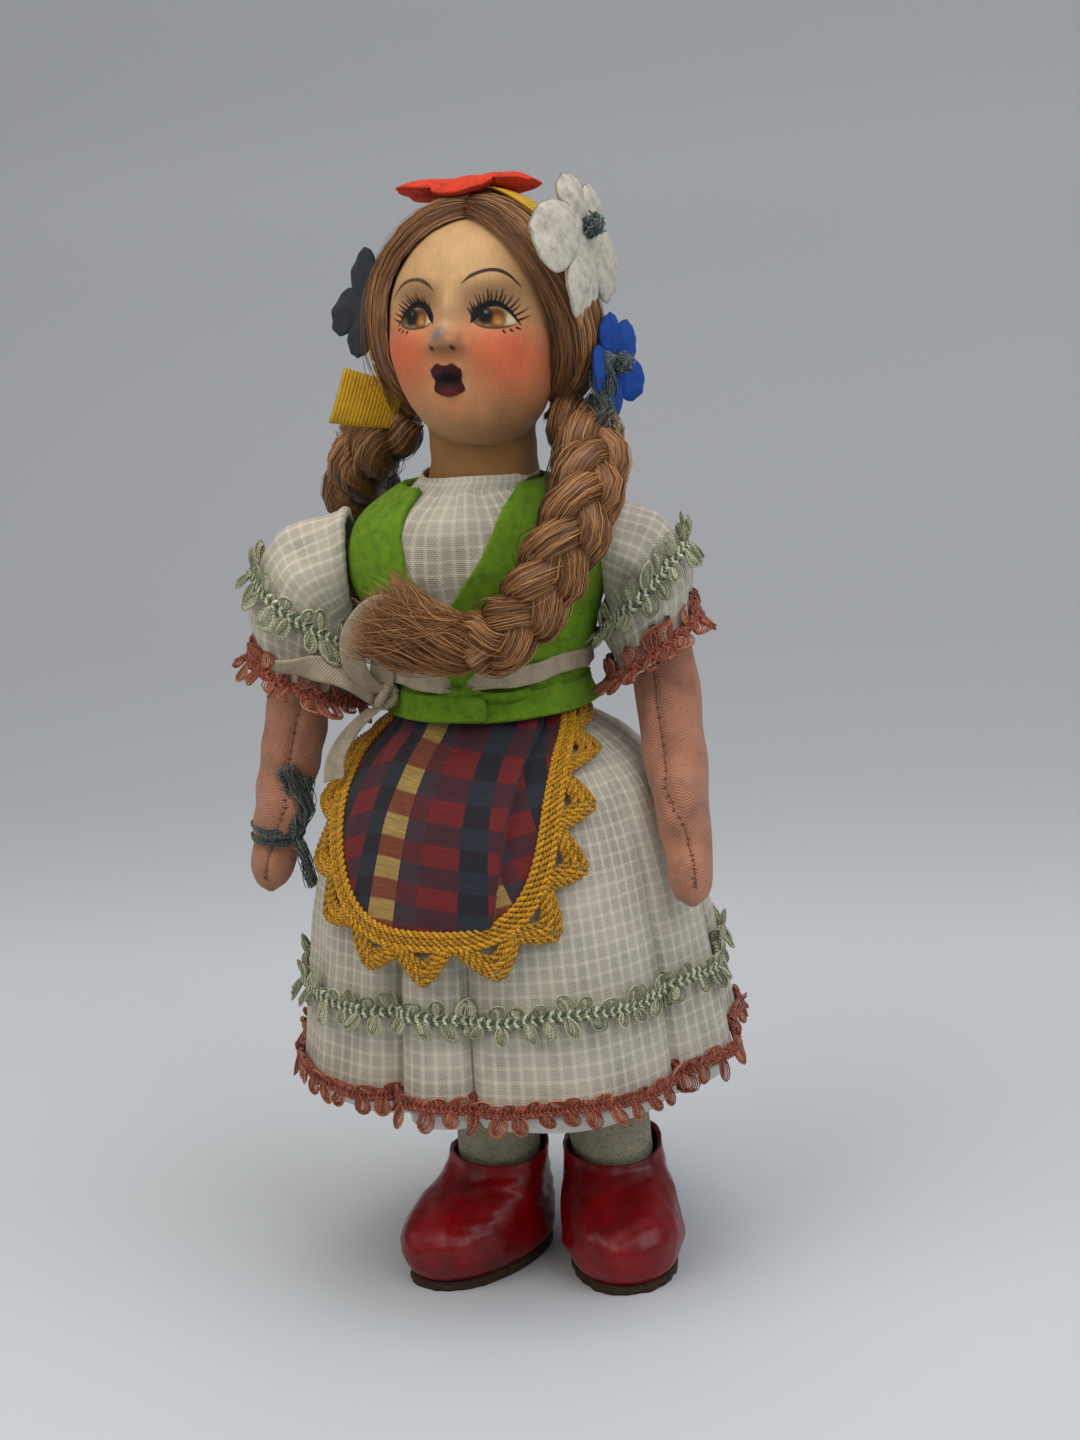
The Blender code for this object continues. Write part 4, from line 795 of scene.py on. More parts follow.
def apron_edge(share, out, lift):
    """A point of the edging: share goes round the apron's U, out is the distance beyond its edge."""
    turn = HALF_TURN * (share - 0.5)
    side = np.sin(turn)
    across = APRON_HALF * np.sign(side) * np.abs(side) ** (2 / APRON_POWER)
    down = APRON_LONG * np.abs(np.cos(turn)) ** (2 / APRON_POWER)
    return apron_place(across + out * side, down + out * np.maximum(0, np.cos(turn)), lift + 0.45)


def crochet():
    """Crochet: two heading rows of chain stitch, then pointed fans of three arcs. Every row is a pair of
    cords that cross each other as opposite sines, and a hole stays open under each fan."""
    fine = np.linspace(0.004, 0.996, 1500)
    edge = apron_edge(fine, 0 * fine, 0 * fine)
    reach = lengths(edge)
    total = reach[-1]
    parts = []

    def row(s, out, lift, swing, beat, radius, tint):
        """Two crossing cords along a line of places, given as distances along and out from the edge."""
        phase = 2 * HALF_TURN * np.concatenate([[0], np.cumsum(np.hypot(np.diff(s), np.diff(out)))]) / beat
        pair = []
        across = np.stack([-np.gradient(out), np.gradient(s)], axis=-1)
        across = unit(across)
        for sign in (1, -1):
            shift = sign * swing * np.sin(phase)
            share = np.interp(s + across[:, 0] * shift, reach, fine)
            pair.append(apron_edge(share, out + across[:, 1] * shift, lift + sign * 0.24 * np.cos(phase)))
        parts.append(threads(np.array(pair), radius, 6, np.array([tint, tint - 0.10])))

    s = np.linspace(0, total, 800)
    for out, tint, lift in ((0.2, 0.60, 0.25), (1.35, 0.46, 0.3), (2.45, 0.62, 0.35)):
        row(s, out + 0 * s, lift + 0 * s, 0.36, 2.3, 0.36, tint)
    fans = 13
    wide = total / fans
    theta = np.linspace(0.02, HALF_TURN - 0.02, 60)
    random = np.random.default_rng(9)
    for index in range(fans):
        middle = (index + 0.5 + random.uniform(-0.08, 0.08)) * wide
        tall = 5.2 * random.uniform(0.85, 1.12)
        for k, share in enumerate((0.42, 0.70, 1.0)):
            along = middle - np.cos(theta) * wide * (0.22 + 0.30 * share)
            out = 2.7 + tall * share * (1 - np.abs(np.cos(theta)) ** 1.25)
            row(along, out, 0.35 + 0.15 * np.sin(theta * 3 + k) + 0.1 * k, 0.38, 2.1, 0.38,
                0.44 + 0.10 * (k % 2))
    return parts


def make_bodice(sizes):
    """The blouse, the felt vest over it, and the body inside them."""
    turn = np.linspace(-HALF_TURN, HALF_TURN, 181)[:-1]
    z = np.linspace(138.9, 108.9, 48)[:, None]
    points = body_points(turn, z, 0.9)
    front = np.clip(-np.sin(turn), 0, 1) ** 2
    folds = (0.35 * np.sin(turn * 17 + z * 0.10 + 2 * np.sin(turn * 3)) + 0.5 * ripple(points, 9, 21)) * front
    points = points + folds[..., None] * normals_of(points, True)
    collar = np.stack([1.0 + 9.8 * np.cos(turn), 9.8 * np.sin(turn),
                       142.2 + 0.25 * np.sin(turn * 3)], axis=-1)
    rounded = collar * (1.03, 1.03, 1) + (0, 0, -0.75)
    points = np.concatenate([collar[None], rounded[None], points])
    around = lengths(np.vstack([points[30], points[30][:1]]))
    uv = np.stack(np.meshgrid(around, lengths(points[:, 45])), axis=-1)
    blouse = piece("blouse_cloth", grid(points, True, uv=uv), finish("checked_dimity"), "body",
                   ["blouse", "torso"], 0.4)

    z = np.linspace(138.7, 101.6, 80)[:, None]
    wide = torso_halves(z)[0] + 2.2
    right = np.interp(z, (117.5, 119.0, 123.0, 127.0, 132.0, 136.0, 138.7),
                      (0.6, 0.2, -7.2, -11.2, -11.6, -10.8, -9.2))
    left = np.interp(z, (117.5, 122.0, 138.7), (-3.6, -3.4, 9.4))
    right, left = (np.arcsin(np.clip((edge + 0.3 * np.sin(z * 0.5)) / wide, -0.95, 0.95))
                   for edge in (right, left))
    share = np.linspace(0, 1, 190)
    turn = -HALF_TURN / 2 + left + (2 * HALF_TURN + right - left) * share
    fall = np.clip((WAIST - z) / (WAIST - HEM), 0, 1)
    upper = body_points(turn, np.maximum(z, WAIST), np.interp(z, (WAIST, 120.7), (5.4, 2.2)))
    lower = skirt_points(turn, fall, 3.55, 0, 0)
    points = np.where((z < WAIST)[..., None], lower, upper)
    sag = 0.35 * ripple(points, 13, 5)
    flare = 1.2 * step(-z, -105.5, -101.6) * (0.6 + 0.4 * np.sin(turn * 6 + 1))
    points = points + (sag + flare)[..., None] * normals_of(points)
    overlap = step(share, 0.93, 0.965) * step(-z, -120.5, -118.0)
    points = points + (1.25 * overlap)[..., None] * normals_of(points)
    uv = np.stack(np.broadcast_arrays(share * 120, 138 - z), axis=-1)
    vest = piece("vest_felt", grid(points, uv=uv), finish("green_felt"), "body", ["vest"], 1.0)


# How far the left sleeve's open end is drawn in and up from the right one's
SLEEVE_MOVED = (3.2, 2.4)


def sleeve_ring(side, along, out=0.0, count=160, loose=1.0):
    """Rings of a puffed sleeve at shares of its length: their centres swing out and then down, and their
    planes turn with them, so that the open end slants up to the outside. Gathers are sines round the ring."""
    table = ((0.0, 0.0, 0.0, 0.92), (0.12, 0.16, 0.0, 1.0), (0.35, 0.66, 0.15, 1.04),
             (0.62, 0.94, 0.52, 1.02), (0.85, 1.0, 0.86, 0.88), (1.0, 1.0, 1.0, 1.0))
    along = np.asarray(along, float)[:, None]
    reach, drop, wide = (read(table, along, k) for k in (1, 2, 3))
    moved = SLEEVE_MOVED if side > 0 else (0.0, 0.0)
    centre = np.stack([side * (ARMHOLE + 8.8 * reach - moved[0] * reach), -2.4 * drop,
                       SHOULDER[2] - 19.5 * drop + moved[1] * drop], axis=-1)
    lean = np.interp(along, (0, 0.62), (0, HALF_TURN / 2 - math.radians(34 if side > 0 else 28)))
    turn = np.linspace(0, 2 * HALF_TURN, count, endpoint=False)
    radius = (9.0 if side > 0 else 9.6) * wide + out
    gather = np.exp(-(along / 0.14) ** 2) + 0.9 * np.exp(-((along - 0.93) / 0.10) ** 2)
    radius = radius + loose * 0.38 * gather * np.sin(turn * 21 + 2 * np.sin(turn * 4))
    radius = radius + loose * 0.5 * np.sin(turn * 5 + along * 6 + side) * np.sin(HALF_TURN * along)
    up = np.stack([np.sin(lean) * side, 0 * lean, np.cos(lean)], axis=-1)
    return (centre + radius[..., None] * (np.cos(turn)[:, None] * up + np.sin(turn)[:, None]
                                          * np.array((0, side, 0))))


def arm_frame(side, hand, count):
    """The arm's centre line, radii and ring directions, from the shoulder down to the hand's tip. hand is
    its way out and forward."""
    table = ((0.0, 0.0, 0.0, 0.0, 0.5), (0.10, 0.35, 0.0, 0.02, 0.80), (0.30, 0.92, 0.03, 0.12, 0.98),
             (0.55, 1.0, 0.40, 0.40, 1.0), (0.76, 1.0, 0.72, 0.70, 0.92), (0.90, 1.0, 0.92, 0.90, 0.86),
             (0.965, 1.0, 1.0, 0.98, 0.64), (1.0, 1.0, 1.02, 1.0, 0.12))
    line = smooth_line(table, count)
    out = 5.6 if side > 0 else 7.5
    centres = np.stack([side * (SHOULDER[0] + out * line[:, 1] + hand[0] * line[:, 2]), -hand[1] * line[:, 3],
                        SHOULDER[2] - 57.0 * line[:, 0]], axis=1)
    radii = np.interp(line[:, 0], (0, 0.3, 0.6, 0.85), (4.4, 5.6, 5.3, 4.6)) * line[:, 4]
    along = unit(np.gradient(centres, axis=0))
    across = unit(np.cross((0, 1, 0), along))
    return centres, radii, across, np.cross(along, across), line[:, 0]


def make_arm(side, name, hand, sizes):
    """A stuffed stockinet arm: an oval tube whose two halves are drawn in along a seam down its front,
    with hand stitches across it, and a thumb that swells out and is pinched off below."""
    centres, radii, across, back, share = arm_frame(side, hand, 130)
    turn = np.linspace(0, 2 * HALF_TURN, 100, endpoint=False)
    seam = (1.5 * HALF_TURN + 0.10 * np.sin(share * 9)[:, None]
            - 0.22 * side * (1 - 2 * step(share, 0.7, 0.9))[:, None])
    off = np.abs((turn - seam + HALF_TURN) % (2 * HALF_TURN) - HALF_TURN)
    radius = radii[:, None] * (1 - 0.11 * np.exp(-(off / 0.17) ** 2) * step(1 - share, 0.0, 0.12)[:, None])
    s, t = np.broadcast_arrays(share[:, None], turn)
    inner = 1.5 * HALF_TURN + 0.05 - 0.12 * side
    thumb = (2.7 * bump(t, s, (inner, 0.725), (0.74, 0.080), 3.4)
             - 1.3 * bump(t, s, (inner, 0.845), (1.0, 0.034)))
    lumps = 0.36 * ripple(np.stack([np.cos(t) * 6, np.sin(t) * 6, s * 60], axis=-1), 10, 31 + side)
    radius = radius + (thumb + lumps) * step(s, 0.02, 0.2) * step(1 - s, 0, 0.05)
    points = (centres[:, None] - (radius * np.cos(turn))[..., None] * across[:, None]
              + (radius * 0.86 * np.sin(turn))[..., None] * back[:, None])
    uv = np.stack(np.broadcast_arrays(np.linspace(0, 34, 101), 58 * share[:, None]), axis=-1)
    body = name + "_arm"
    arm = piece(name + "_arm_stockinet", grid(points, True, True, uv, turn=side > 0),
                finish("pink_stockinet"), body, [name + "_arm"])

    rows = np.nonzero((share > 0.30) & (share < 0.955))[0][::2]
    where = (np.arange(len(turn))[None] == np.argmin(off, axis=1)[rows][:, None])
    on = points[rows][where]
    outward = unit(on - centres[rows])
    run = unit(np.gradient(on, axis=0))
    cross = np.cross(run, outward)
    random = np.random.default_rng(40 + side)
    t = np.linspace(-1, 1, 5)[None, :, None]
    tilt = random.uniform(-0.3, 0.3, (len(rows), 1, 1))
    stitches = (on[:, None] + cross[:, None] * t * random.uniform(0.45, 0.8, (len(rows), 1, 1))
                + run[:, None] * t * tilt + outward[:, None] * (0.14 - 0.22 * t**2))
    seam_line = on + outward * 0.02
    piece(name + "_arm_stitches",
          [threads(stitches, 0.085, 4, random.uniform(0.2, 0.9, len(rows))),
           threads(seam_line, 0.06, 4, 0.3)],
          finish("brown_thread"), body)

    rings = sleeve_ring(side, np.concatenate([np.linspace(0, 0.12, 6), np.linspace(0.16, 1.0, 46)]))
    rings = rings + 0.45 * ripple(rings, 8, 51 + side)[..., None] * normals_of(rings, True)
    wide, deep = torso_halves(rings[..., 2])
    kept = step(np.linspace(0, 1, len(rings)), 0.02, 0.30)[:, None]
    rings[..., 1] *= 0.62 + 0.38 * kept
    seam = np.maximum((wide + 1.5) * np.sqrt(np.clip(1 - (rings[..., 1] / (deep + 1.5)) ** 2, 0.1, 1)),
                      21.0 if side > 0 else 22.6)
    rings[..., 0] = side * (np.abs(rings[..., 0]) * kept + seam * (1 - kept))
    around = lengths(np.vstack([rings[20], rings[20][:1]]))
    uv = np.stack(np.meshgrid(around, lengths(rings[:, 0])), axis=-1)
    sleeve = piece(name + "_sleeve_cloth", grid(rings, True, uv=uv, turn=side < 0),
                   finish("checked_dimity"), body, [name + "_sleeve"], 0.4)
    for trim, middle, upper, lower, slot in (("green", 0.50, (3.0, 1.2), (3.0, 1.3), "green_cream_gimp"),
                                             ("coral", 0.95, (2.6, 1.0), (2.8, 0.9), "coral_gimp")):
        path, out, down = closed_frame(sleeve_ring(side, [middle - 0.05, middle, middle + 0.05], 0.55))
        out = out * np.sign((out * (path - path.mean(axis=0))).sum(axis=1).mean())
        parts = gimp(path, out, down, upper, lower, 60 + side * 3 + len(trim), 3.5,
                     core=(0.10, 0.85) if trim == "green" else (0.2, 0.5))
        piece(f"{name}_sleeve_{trim}_gimp", parts, finish(slot), body, [f"{name}_sleeve_{trim}_trim"])


def strand_bundle(line, radius, count, seed, fuzz=0.5, frayed=1.0):
    """Loose fibres round a line: each keeps its place in the bundle, a square-root share of its radius from
    the middle, and wanders by a slow sine, more towards the end."""
    random = np.random.default_rng(seed)
    along = unit(np.gradient(line, axis=0))
    side = unit(np.cross(along, (0.3, 0.2, 1.0)))
    up = np.cross(along, side)
    angle = random.uniform(0, 2 * HALF_TURN, (count, 1))
    reach = radius * np.sqrt(random.uniform(0, 1, (count, 1)))
    t = np.linspace(0, 1, len(line))
    reach = (reach * (1 + (frayed - 1) * t) + fuzz * np.sin(t * random.uniform(4, 11, (count, 1))
                                                            + angle) * (0.3 + t))
    angle = angle + fuzz * np.sin(t * random.uniform(2, 6, (count, 1)) + 2 * angle)
    return (line + (reach * np.cos(angle))[..., None] * side + (reach * np.sin(angle))[..., None] * up)


def make_wrist_yarn(sizes):
    """Wool yarn wound round the right wrist under the thumb and knotted, with its frayed hank at the inner
    side."""
    centres, radii, across, back, share = arm_frame(-1, RIGHT_HAND, 150)
    parts = []
    for index, at in enumerate((0.80, 0.825)):
        i = int(np.argmin(np.abs(share - at)))
        turn = np.linspace(0.2, 2 * HALF_TURN + 0.1, 60)[:, None]
        out = radii[i] + 0.1
        loop = (centres[i] - out * np.cos(turn) * across[i] + out * 0.88 * np.sin(turn) * back[i]
                + np.array((0, 0, 1.0)) * np.sin(turn + index) * 0.7)
        parts.append(threads(strand_bundle(loop, 0.40, 22, 70 + index, 0.22), 0.12, 4,
                             np.random.default_rng(index).uniform(0.1, 0.8, 22)))
    i = int(np.argmin(np.abs(share - 0.80)))
    knot = centres[i] - (radii[i] * 0.7) * back[i] - across[i] * radii[i] * 0.75
    for index, (wide, ends) in enumerate((
            (1.35, ((0, 0, 0), (1.4, -0.9, 3.2), (1.6, -1.2, 7.5), (0.2, -1.0, 12.4))),
            (1.0, ((0.4, 0, 0), (2.4, -0.4, 2.6), (3.4, -0.3, 6.4), (3.0, 0.1, 10.0))),
            (0.8, ((0, 0, 0), (1.4, -0.7, -2.4), (1.9, -0.4, -5.6), (2.9, -0.2, -9.4))),
            (0.7, ((0, 0, 0), (-1.8, -1.0, 0.3), (-3.6, -0.8, 0.1), (-5.2, 0.2, 0.8))))):
        line = knot + smooth_line(ends, 26)
        parts.append(threads(strand_bundle(line, wide, 84, 80 + index, 0.5, frayed=1.3), 0.095, 3,
                             np.random.default_rng(90 + index).uniform(0.05, 0.9, 84)))
    piece("wrist_yarn_fibres", parts, finish("green_grey_wool"), "right_arm",
          ["wrist_yarn"])


def make_leg(side, name, toe_out, sizes):
    """A stockinet leg, a moulded shoe round its foot, and the sole under it."""
    ankle_x = side * 10.2 + 5.0
    hip_x = side * 8.5
    body = name + "_leg"
    t = np.linspace(0, 1, 90)[:, None]
    turn = np.linspace(0, 2 * HALF_TURN, 97)[:-1]
    low, high = 12.2, HIP + 6.2
    radius = np.interp(t, (0, 0.04, 0.12, 0.35, 0.62, 0.80, 1), (1.5, 4.2, 6.2, 7.7, 7.5, 7.3, 7.4))
    centre_x = hip_x + (ankle_x - hip_x) * np.clip(t * 1.1, 0, 1)
    skin = (0.22 * ripple(np.stack(np.broadcast_arrays(7 * np.cos(turn), 7 * np.sin(turn), 70 * t),
                                   axis=-1), 9, 11 + side))
    points = np.stack(np.broadcast_arrays(centre_x + (radius + skin) * np.cos(turn),
                                          (radius + skin) * np.sin(turn),
                                          high + (low - high) * t), axis=-1)
    uv = np.stack(np.broadcast_arrays(np.linspace(0, 47, 97), 71 * t), axis=-1)
    leg = piece(name + "_leg_stockinet", grid(points, True, True, uv), finish("cream_stockinet"), body,
                [name + "_leg"])

    table = ((0.0, 0.285, 0.655, 0.86), (0.10, 0.305, 0.695, 0.96), (0.25, 0.31, 0.71, 1.0),
             (0.42, 0.30, 0.67, 0.99),
             (0.58, 0.285, 0.55, 0.95), (0.72, 0.275, 0.40, 0.89), (0.86, 0.265, 0.30, 0.85),
             (1.0, 0.262, 0.262, 0.84))
    high = np.linspace(0, 1, 70)[::-1][:, None]
    heel, toe, wide = (read(table, high, k) for k in (1, 2, 3))
    turn = np.linspace(0, 2 * HALF_TURN, 145)[:-1]
    sin, cos = np.sin(turn), np.cos(turn)
    front, back = 32.5 * toe, 32.5 * heel
    y = (back - front) / 2 + (back + front) / 2 * sin
    square = 1 + 0.10 * (toe - heel) / 0.4 * -sin
    x = 10.6 * wide * np.sign(cos) * np.abs(cos) ** 0.92 * square
    slope = 2.2 * (-sin) * step(high, 0.75, 1.0) * 0.5
    z = 1.9 + 18.0 * high - slope * 0.8 + 0.5 * np.sin(turn * 2 + side) * step(high, 0.8, 1.0)
    shell = np.stack(np.broadcast_arrays(x, y, z), axis=-1)
    dents = 0.38 * ripple(shell, 11, 13 + side) + 0.12 * ripple(shell, 3.5, 17 + side)
    shell = shell + (dents * step(high, 0.0, 0.12))[..., None] * normals_of(shell, True)
    lip = np.linspace(0, 1, 12)[1:, None]
    rim = shell[0]
    drawn = 1 - 0.085 * np.minimum(lip * 6, 1)
    inner = np.stack([rim[:, 0] * drawn, rim[:, 1] * drawn,
                      rim[:, 2] - 6.0 * lip + 0.4 * np.sin(HALF_TURN * np.minimum(lip * 3, 1))], axis=-1)
    whole = np.concatenate([inner[::-1], shell])
    angle = side * toe_out
    spin = np.array(((math.cos(angle), math.sin(angle), 0),
                     (-math.sin(angle), math.cos(angle), 0), (0, 0, 1)))
    whole = whole @ spin + (ankle_x, 0, 0)
    piece(name + "_shoe_cover", grid(whole, True, True), finish("red_leathercloth"), body,
          [name + "_shoe"])
    foot = np.stack([x[-1], y[-1], 0 * turn], axis=-1) * (1.03, 1.02, 1)
    rows = [(0.0, 1.72), (0.72, 1.70), (0.98, 1.60), (1.0, 0.9), (0.995, 0.12), (0.97, 0.0),
            (0.6, 0.0), (0.0, 0.0)]
    rough = 1 + 0.013 * ripple(foot, 2.2, 19 + side)[:, None]
    sole = np.stack([foot * share * (rough if share > 0.9 else 1) + (0, 0, up) for share, up in rows])
    sole = sole @ spin + (ankle_x, 0, 0)
    piece(name + "_sole_board", grid(sole, True), finish("brown_sole_board"), body,
          [name + "_sole"])


def ribbon(name, centres, across, widths, finish_name, body, replaces=(), thickness=0.4,
           rows=9, curl=0.0):
    """A flat ribbon along a line: at each station a row of points lies across it, curled a little."""
    centres = np.asarray(centres, float)
    across = unit(np.asarray(across, float))
    along = unit(np.gradient(centres, axis=0))
    up = unit(np.cross(across, along))
    t = np.linspace(-1, 1, rows)
    half = np.asarray(widths)[:, None] / 2 * t
    points = (centres[:, None] + half[..., None] * across[:, None] + (curl * (1 - t**2))[None, :, None]
              * up[:, None])
    uv = np.stack(np.broadcast_arrays(half, lengths(centres)[:, None]), axis=-1)
    return piece(name, grid(points, uv=uv), finish(finish_name), body, list(replaces), thickness)


def along_path(x, z, path):
    """The distance from each place to a line of (x, z) points, and the share of the line's length where it
    is nearest."""
    path = np.asarray(path, float)
    reach = lengths(path)
    near, share = np.full(x.shape, 99.0), np.zeros(x.shape)
    for a, b, start, end in zip(path[:-1], path[1:], reach[:-1], reach[1:]):
        way = b - a
        t = np.clip(((x - a[0]) * way[0] + (z - a[1]) * way[1]) / (way @ way), 0, 1)
        off = np.hypot(x - a[0] - t * way[0], z - a[1] - t * way[1])
        closer = off < near
        near = np.where(closer, off, near)
        share = np.where(closer, (start + (end - start) * t) / reach[-1], share)
    return near, share


def stroke(x, z, path, width, taper=(0.3, 0.3), soft=0.10):
    """How much a brush stroke covers each place: 1 within half its width of the line, which narrows towards
    both ends, and 0 a little outside."""
    near, share = along_path(x, z, path)
    full = width / 2 * np.minimum(1, np.minimum(0.15 + share / taper[0], 0.15 + (1 - share) / taper[1]))
    return 1 - step(near, full - soft / 2, full + soft)


def face_rise(x, z):
    """The relief pressed into the mask, in millimetres: hills and hollows that are each a soft bump."""
    rise = 0.35 * bump(x, z, (0, 10), (9, 6))
    for side in (-1, 1):
        eye = 6.3 * side + 0.7
        rise = rise - 1.15 * bump(x, z, (eye, 0.6), (3.6, 2.6), 2.4)
        rise = rise + 0.55 * bump(x, z, (eye, 0.3), (2.4, 1.5))
        rise = rise + 0.45 * bump(x, z, (eye, 5.4), (5.0, 1.8))
        rise = rise + 1.45 * bump(x, z, (side * 8.2, -6.4), (4.8, 4.4))
        rise = rise + 1.1 * bump(x, z, (side * 2.2 - 0.2, -5.0), (1.15, 0.95))
        rise = rise - 0.35 * bump(x, z, (side * 3.3 - 0.4, -9.0), (1.2, 2.2))
    rise = rise + 1.3 * bump(x, z, (0, 0.3), (1.5, 3.6))
    rise = rise + 3.4 * bump(x, z, (-0.1, -4.1), (2.25, 2.0), 2.4)
    rise = rise - 0.7 * bump(x, z, (-0.4, -6.7), (1.8, 0.8))
    rise = rise + 1.0 * bump(x, z, (-0.8, -8.4), (2.5, 0.9)) + 0.95 * bump(x, z, (-0.8, -10.9), (2.2, 0.9))
    rise = rise - 0.55 * bump(x, z, (-0.8, -9.6), (1.9, 0.4))
    return rise + 1.7 * bump(x, z, (-0.4, -14.8), (5.0, 2.8))


def face_paint(x, z, colours):
    """The painted face: each tone or stroke is laid over the last by how much it covers."""
    paint = np.broadcast_to(np.array(colours.skin[:3]), (*x.shape, 3)).copy()

    def lay(colour, cover):
        nonlocal paint
        colour = np.array(linear(colour)[:3] if isinstance(colour, str) else colour[:3])
        paint = paint * (1 - cover[..., None]) + colour * cover[..., None]

    cloud = ripple(np.stack([x, z], axis=-1), 5, 61)
    fine = ripple(np.stack([x * 1.0, z * 0.4], axis=-1), 0.9, 62, 9)
    lay("#C9A070", np.clip(0.22 + 0.22 * cloud, 0, 1))
    # Painted highlight: a paler patch over the forehead, where the light falls.
    lay("#DDB984", 0.45 * bump(x, z, (1.0, 9.5), (6.5, 4.5)))
    # Painted shade: darker towards the chin and under the jaw, darkest on the jaw's right side.
    lay("#8E6038", 0.55 * step(-z, 9.0, 17.0))
    lay("#64452A", 0.55 * bump(x, z, (10.0, -13.5), (6.0, 7.0)))
    for side in (-1, 1):
        lay(colours.cheeks, np.clip((0.98 + 0.08 * fine) * bump(x, z, (side * 8.4, -5.6), (6.6, 6.0),
                                                                2.8), 0, 1))
        lay("#D9604A", 0.38 * bump(x, z, (side * 9.4, -5.6), (3.6, 3.2)))
        lay("#84603F", 0.66 * bump(x, z, (side * 6.6 + 0.4, 3.5), (4.8, 2.6), 2.6))
        lay("#7A5646", 0.45 * bump(x, z, (side * 3.4, 1.2), (1.5, 2.6)))
        lay("#C88A68", 0.45 * bump(x, z, (side * 6.9, -2.2), (3.6, 0.9)))
        lay("#B9755A", 0.5 * bump(x, z, (side * 2.3, -4.2), (0.8, 2.0)))
    lay(colours.cheeks, 0.40 * bump(x, z, (0, -12.2), (4.2, 2.2)))
    lay("#D0805F", 0.5 * bump(x, z, (0, -6.6), (2.6, 1.1)))
    lay("#C9A27E", 0.65 * bump(x, z, (0.2, -0.6), (1.0, 2.4)))
    lay("#C88A62", 0.7 * bump(x, z, (1.3, -4.3), (1.6, 1.6), 2.4))
    # Painted shade down the right side of the nose.
    lay("#8A4E34", 0.5 * bump(x, z, (2.3, -4.4), (0.7, 1.3), 2.4))
    lay("#7C736D", 0.92 * bump(x, z, (-0.35, -3.2), (1.25, 1.1), 3))
    lay("#9A8A80", 0.6 * bump(x, z, (-1.3, -4.0), (0.9, 0.8)))
    lay("#7E4438", 0.55 * bump(x, z, (-0.2, -5.7), (2.1, 0.55)))

    for side in (-1, 1):
        ex = (x - 0.7) * side
        upper = [(3.4, -1.2), (4.2, 0.6), (5.5, 1.7), (7.2, 1.9), (8.8, 0.9), (9.9, -1.1)]
        lower = [(3.4, -1.2), (4.7, -1.85), (6.6, -2.1), (8.4, -1.8), (9.9, -1.1)]
        top = np.interp(ex, *np.array(smooth_line(upper, 40)).T, left=-9, right=-9)
        foot = np.interp(ex, *np.array(smooth_line(lower, 40)).T, left=9, right=9)
        inside = step(top - z, -0.05, 0.12) * step(z - foot, -0.05, 0.12)
        lay("#A38358", inside)
        lay("#E2D4B4", inside * 0.8 * bump(ex, z, (8.9 if side > 0 else 4.4, -0.6), (1.0, 1.0), 3))
        lay("#3A2418", inside * 0.8 * bump(ex, z, (3.6 if side > 0 else 9.4, -0.4), (1.3, 1.5), 3))
        iris_x, pupil_x, way = (6.9, 5.3, 1) if side > 0 else (5.9, 7.5, -1)
        lay("#5E3210", inside * bump(ex, z, (iris_x, -0.4), (1.5, 1.75), 8))
        lay("#B07428", inside * 0.9 * bump(ex, z, (iris_x + 0.3 * way, -0.8), (0.85, 0.95), 3))
        lay("#D8A860", inside * 0.6 * bump(ex, z, (iris_x + 0.4 * way, -1.1), (0.4, 0.35), 3))
        lay("#0E0A0B", inside * bump(ex, z, (pupil_x, -0.1), (1.2, 1.6), 8))
        # Painted highlight: a grey-blue glint on the upper part of each pupil.
        lay("#7A828C", inside * 0.9 * bump(ex, z, (pupil_x + 0.1, 0.5), (0.34, 0.26), 3))
        lay("#1C0F0E", stroke(ex, z, smooth_line(lower, 20), 0.34) * 0.8)
        lay("#0B0808", stroke(ex, z, smooth_line([(3.2, -1.4), *upper[1:-1], (10.3, -1.2)], 24),
                              1.0, (0.12, 0.6)))
        lay("#0B0808", bump(ex, z, (4.0 if side > 0 else 8.6, 0.6), (1.2, 0.9), 4) * 0.95)
        lids = smooth_line(upper, 60)
        for k, share in enumerate(np.linspace(0.04, 0.97, 16)):
            at = lids[int(share * 59)]
            way = np.array((-0.55 + 1.35 * share, 1.0 - 0.55 * max(0, share - 0.55) * 2))
            if side < 0:
                way = np.array((0.10 + 0.95 * share, 1.0 - 0.5 * share))
            long = 2.2 + 0.4 * math.sin(k * 2.3)
            tip = at + way / np.linalg.norm(way) * long
            bend = (at + tip) / 2 + np.array((0.14, 0.05))
            lay("#120C0B", stroke(ex, z, [at, bend, tip], 0.34, (0.05, 0.75), 0.09) * 0.95)
        for at, tip in (((8.8, -2.1), (9.4, -2.55)), ((7.9, -2.3), (8.3, -2.9)), ((9.6, -1.7), (10.4, -2.0))):
            lay("#241412", stroke(ex, z, [at, tip], 0.32, (0.2, 0.5)))
        brow = ([(2.3, 4.9), (3.6, 6.2), (5.4, 7.1), (7.4, 7.3), (9.2, 6.5), (10.8, 4.9)] if side > 0 else
                [(2.6, 3.9), (3.9, 5.1), (5.8, 5.9), (8.0, 5.8), (9.8, 4.9), (11.4, 3.4)])
        lay("#241A16", stroke(x * side, z, smooth_line(brow, 26), 0.60, (0.22, 0.45), 0.12)
            * (0.96 if side > 0 else 0.85))
    mouth = x + 0.8
    for side in (-1, 1):
        lay("#2E1410", bump(x, z, (side * 1.75 - 0.35, -5.5), (0.42, 0.34), 4))
    lip = step(2.75 - np.abs(mouth), 0, 0.16)
    top = -7.85 + 0.55 * np.exp(-((np.abs(mouth) - 1.35) / 0.8) ** 2) - 0.15 * np.abs(mouth)
    low = -11.6 + 0.10 * mouth**2
    notch = 0.35 * np.exp(-((z + 9.7) / 0.5) ** 2)
    lips = (step(2.75 - notch - np.abs(mouth), 0, 0.16) * lip * step(top - z, -0.06, 0.12)
            * step(z - low, -0.06, 0.12))
    lay(colours.lips, lips)
